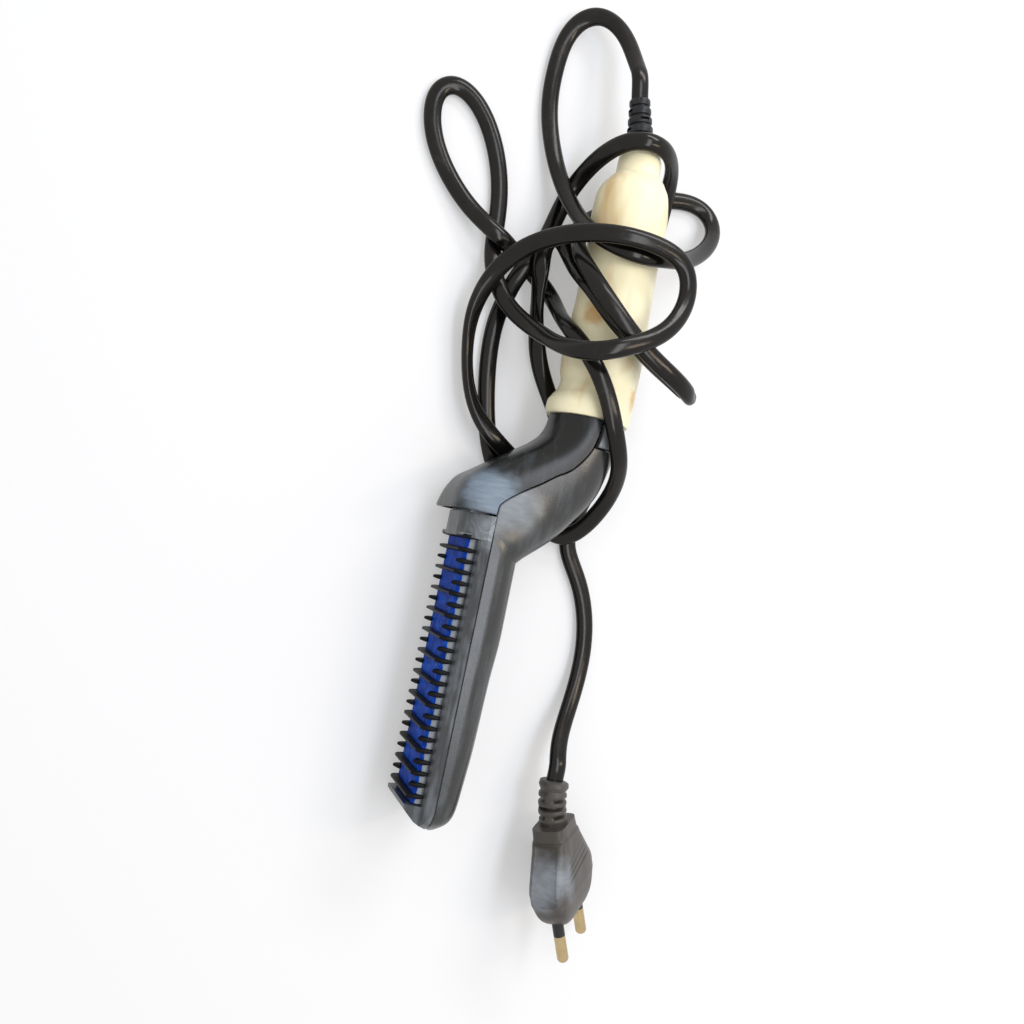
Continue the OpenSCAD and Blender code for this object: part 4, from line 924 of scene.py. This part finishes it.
def lead_line():
    """Points and rolls along the lead, from the cord guard to the plug, with its stiff bends evened out."""
    guard_dir = Vector((-sin(CORD_GUARD_TILT), cos(CORD_GUARD_TILT), 0))
    start = Vector(BALL) + CORD_GUARD_LEN * guard_dir
    plug_dir = Vector((cos(PLUG_HEADING), sin(PLUG_HEADING), 0))
    bend = PLUG_HEADING + 1.5 * pi
    out = Vector((cos(bend - GUARD_SWEEP), sin(bend - GUARD_SWEEP), 0))
    end = PLUG_FACE - PLUG_LEN * plug_dir + GUARD_BEND * (out - Vector((cos(bend), sin(bend), 0)))
    end_dir = Vector((-out.y, out.x, 0))
    rows = [(*start, 0), (*(start + STRAIGHT_START * guard_dir), 0)]
    rows += [(x, y, height - MID_Z, sum(roll)) for x, y, height, *roll in ROUTE]
    rows += [(*(end - STRAIGHT_END * end_dir), 0), (*end, 0)]
    places = [0.0]
    for a, b in zip(rows, rows[1:]):
        places.append(places[-1] + (Vector(b[:3]) - Vector(a[:3])).length)
    line = [list(row) for row in curve_through(rows, places, 8)]
    for _ in range(ROUNDS):
        between = zip(line[HELD - 1:], line[HELD:], line[HELD + 1:-HELD + 1])
        evened = [[(p + 2 * q + r) / 4 for p, q, r in zip(a, b, c)] for a, b, c in between]
        line = line[:HELD] + evened + line[-HELD:]
    return [at(*row[:3]) for row in line], [radians(row[3]) for row in line]


def make_lead():
    """The flat lead, lifted wherever its jacket would sink into the floor."""
    points, rolls = lead_line()
    rings, side = [], Vector((1, 0, 0))
    for i, roll in enumerate(rolls):
        along = (points[min(i + 1, len(points) - 1)] - points[max(i - 1, 0)]).normalized()
        level = along.cross(Vector((0, 0, 1)))
        # where it stands almost upright, its flat side keeps the way it had
        if level.length < 0.35:
            level = side - side.dot(along) * along
        level.normalize()
        if level.dot(side) < 0:
            level = -level
        side = level
        a = level * cos(roll) + along.cross(level) * sin(roll)
        b = along.cross(a)
        section = [(CORD_W / 2 * sq_cos(t, CORD_POWER), CORD_T / 2 * sq_sin(t, CORD_POWER)) for t in turn(24)]
        low = min((p * a.z + q * b.z) * MM for p, q in section)
        points[i].z = max(points[i].z, OFF_FLOOR * MM - low)
        rings.append([points[i] + (p * a + q * b) * MM for p, q in section])
    lead = skin("mains_lead", rings)
    smooth_shade(lead, 60)
    show(lead, "lead", "tool", "lead_jacket", "power_cord")


make_back_shell()
make_front_shell()
make_button()
make_handle()
make_fins()
make_plug()
make_plug_guard()
make_lead()


# The studio

def seen(tree):
    """One where the camera looks straight at a surface or sees it in a reflection or through glass."""
    rays = put(tree, "LightPath", {})
    straight_or_mirrored = put(tree, "Math", {0: (rays, "Is Camera Ray"), 1: (rays, "Is Glossy Ray")},
                               operation="MAXIMUM")
    return put(tree, "Math", {0: (straight_or_mirrored, "Value"), 1: (rays, "Is Transmission Ray")},
               operation="MAXIMUM"), "Value"


def paper_floor():
    """Matt white paper: white to the eye where it is lit, grey where the tool shades it."""
    material, tree = new_material("white_paper")
    paper = put(tree, "BsdfDiffuse", {"Color": linear("#bfbfbf")})
    glow = put(tree, "Emission", {"Color": linear("#9e9e9e"), "Strength": seen(tree)})
    lift = put(tree, "AddShader", {0: (paper, "BSDF"), 1: (glow, "Emission")})
    put(tree, "OutputMaterial", {"Surface": (lift, "Shader")})
    mesh = bpy.data.meshes.new("floor")
    mesh.from_pydata([(-4, -4, 0), (4, -4, 0), (4, 4, 0), (-4, 4, 0)], [], [(0, 1, 2, 3)])
    mesh.materials.append(material)
    floor = bpy.data.objects.new("floor", mesh)
    bpy.context.scene.collection.objects.link(floor)


def lamp(name, place, aim, size, watts, colour):
    """A panel of light, with its place, aim and size in metres."""
    light = bpy.data.lights.new(name, "AREA")
    light.shape = "RECTANGLE"
    light.size, light.size_y = size
    light.energy = watts
    light.color = linear(colour)[:3]
    holder = bpy.data.objects.new(name, light)
    holder.location = place
    holder.rotation_euler = (Vector(aim) - Vector(place)).to_track_quat("-Z", "Y").to_euler()
    bpy.context.scene.collection.objects.link(holder)


def studio():
    paper_floor()
    # a long panel overhead, a window beyond the handle's end and a warm light at the right
    lamp("ceiling", (0.17, 0.12, 0.78), (0.17, 0.12, 0.0), (0.18, 0.74), 2.9, "#eef3ff")
    lamp("window", (0.3, 0.75, 0.6), (0, 0, 0), (0.5, 0.18), 2.8, "#f8faff")
    lamp("side", (0.5, 0.18, 0.74), (0, 0, 0), (0.12, 0.3), 1.2, "#ffedd4")
    world = bpy.data.worlds.new("room")
    world.use_nodes = True
    tree = world.node_tree
    tree.nodes.clear()
    # the room lights the tool a little less than it looks to the camera, which sees plain white
    level = put(tree, "MapRange", {"Value": seen(tree), "To Min": 0.77, "To Max": 1.0})
    sky = put(tree, "Background", {"Color": linear("#ffffff"), "Strength": (level, "Result")})
    put(tree, "OutputWorld", {"Surface": (sky, "Background")})
    bpy.context.scene.world = world
    bpy.context.scene.view_settings.view_transform = "Standard"


studio()
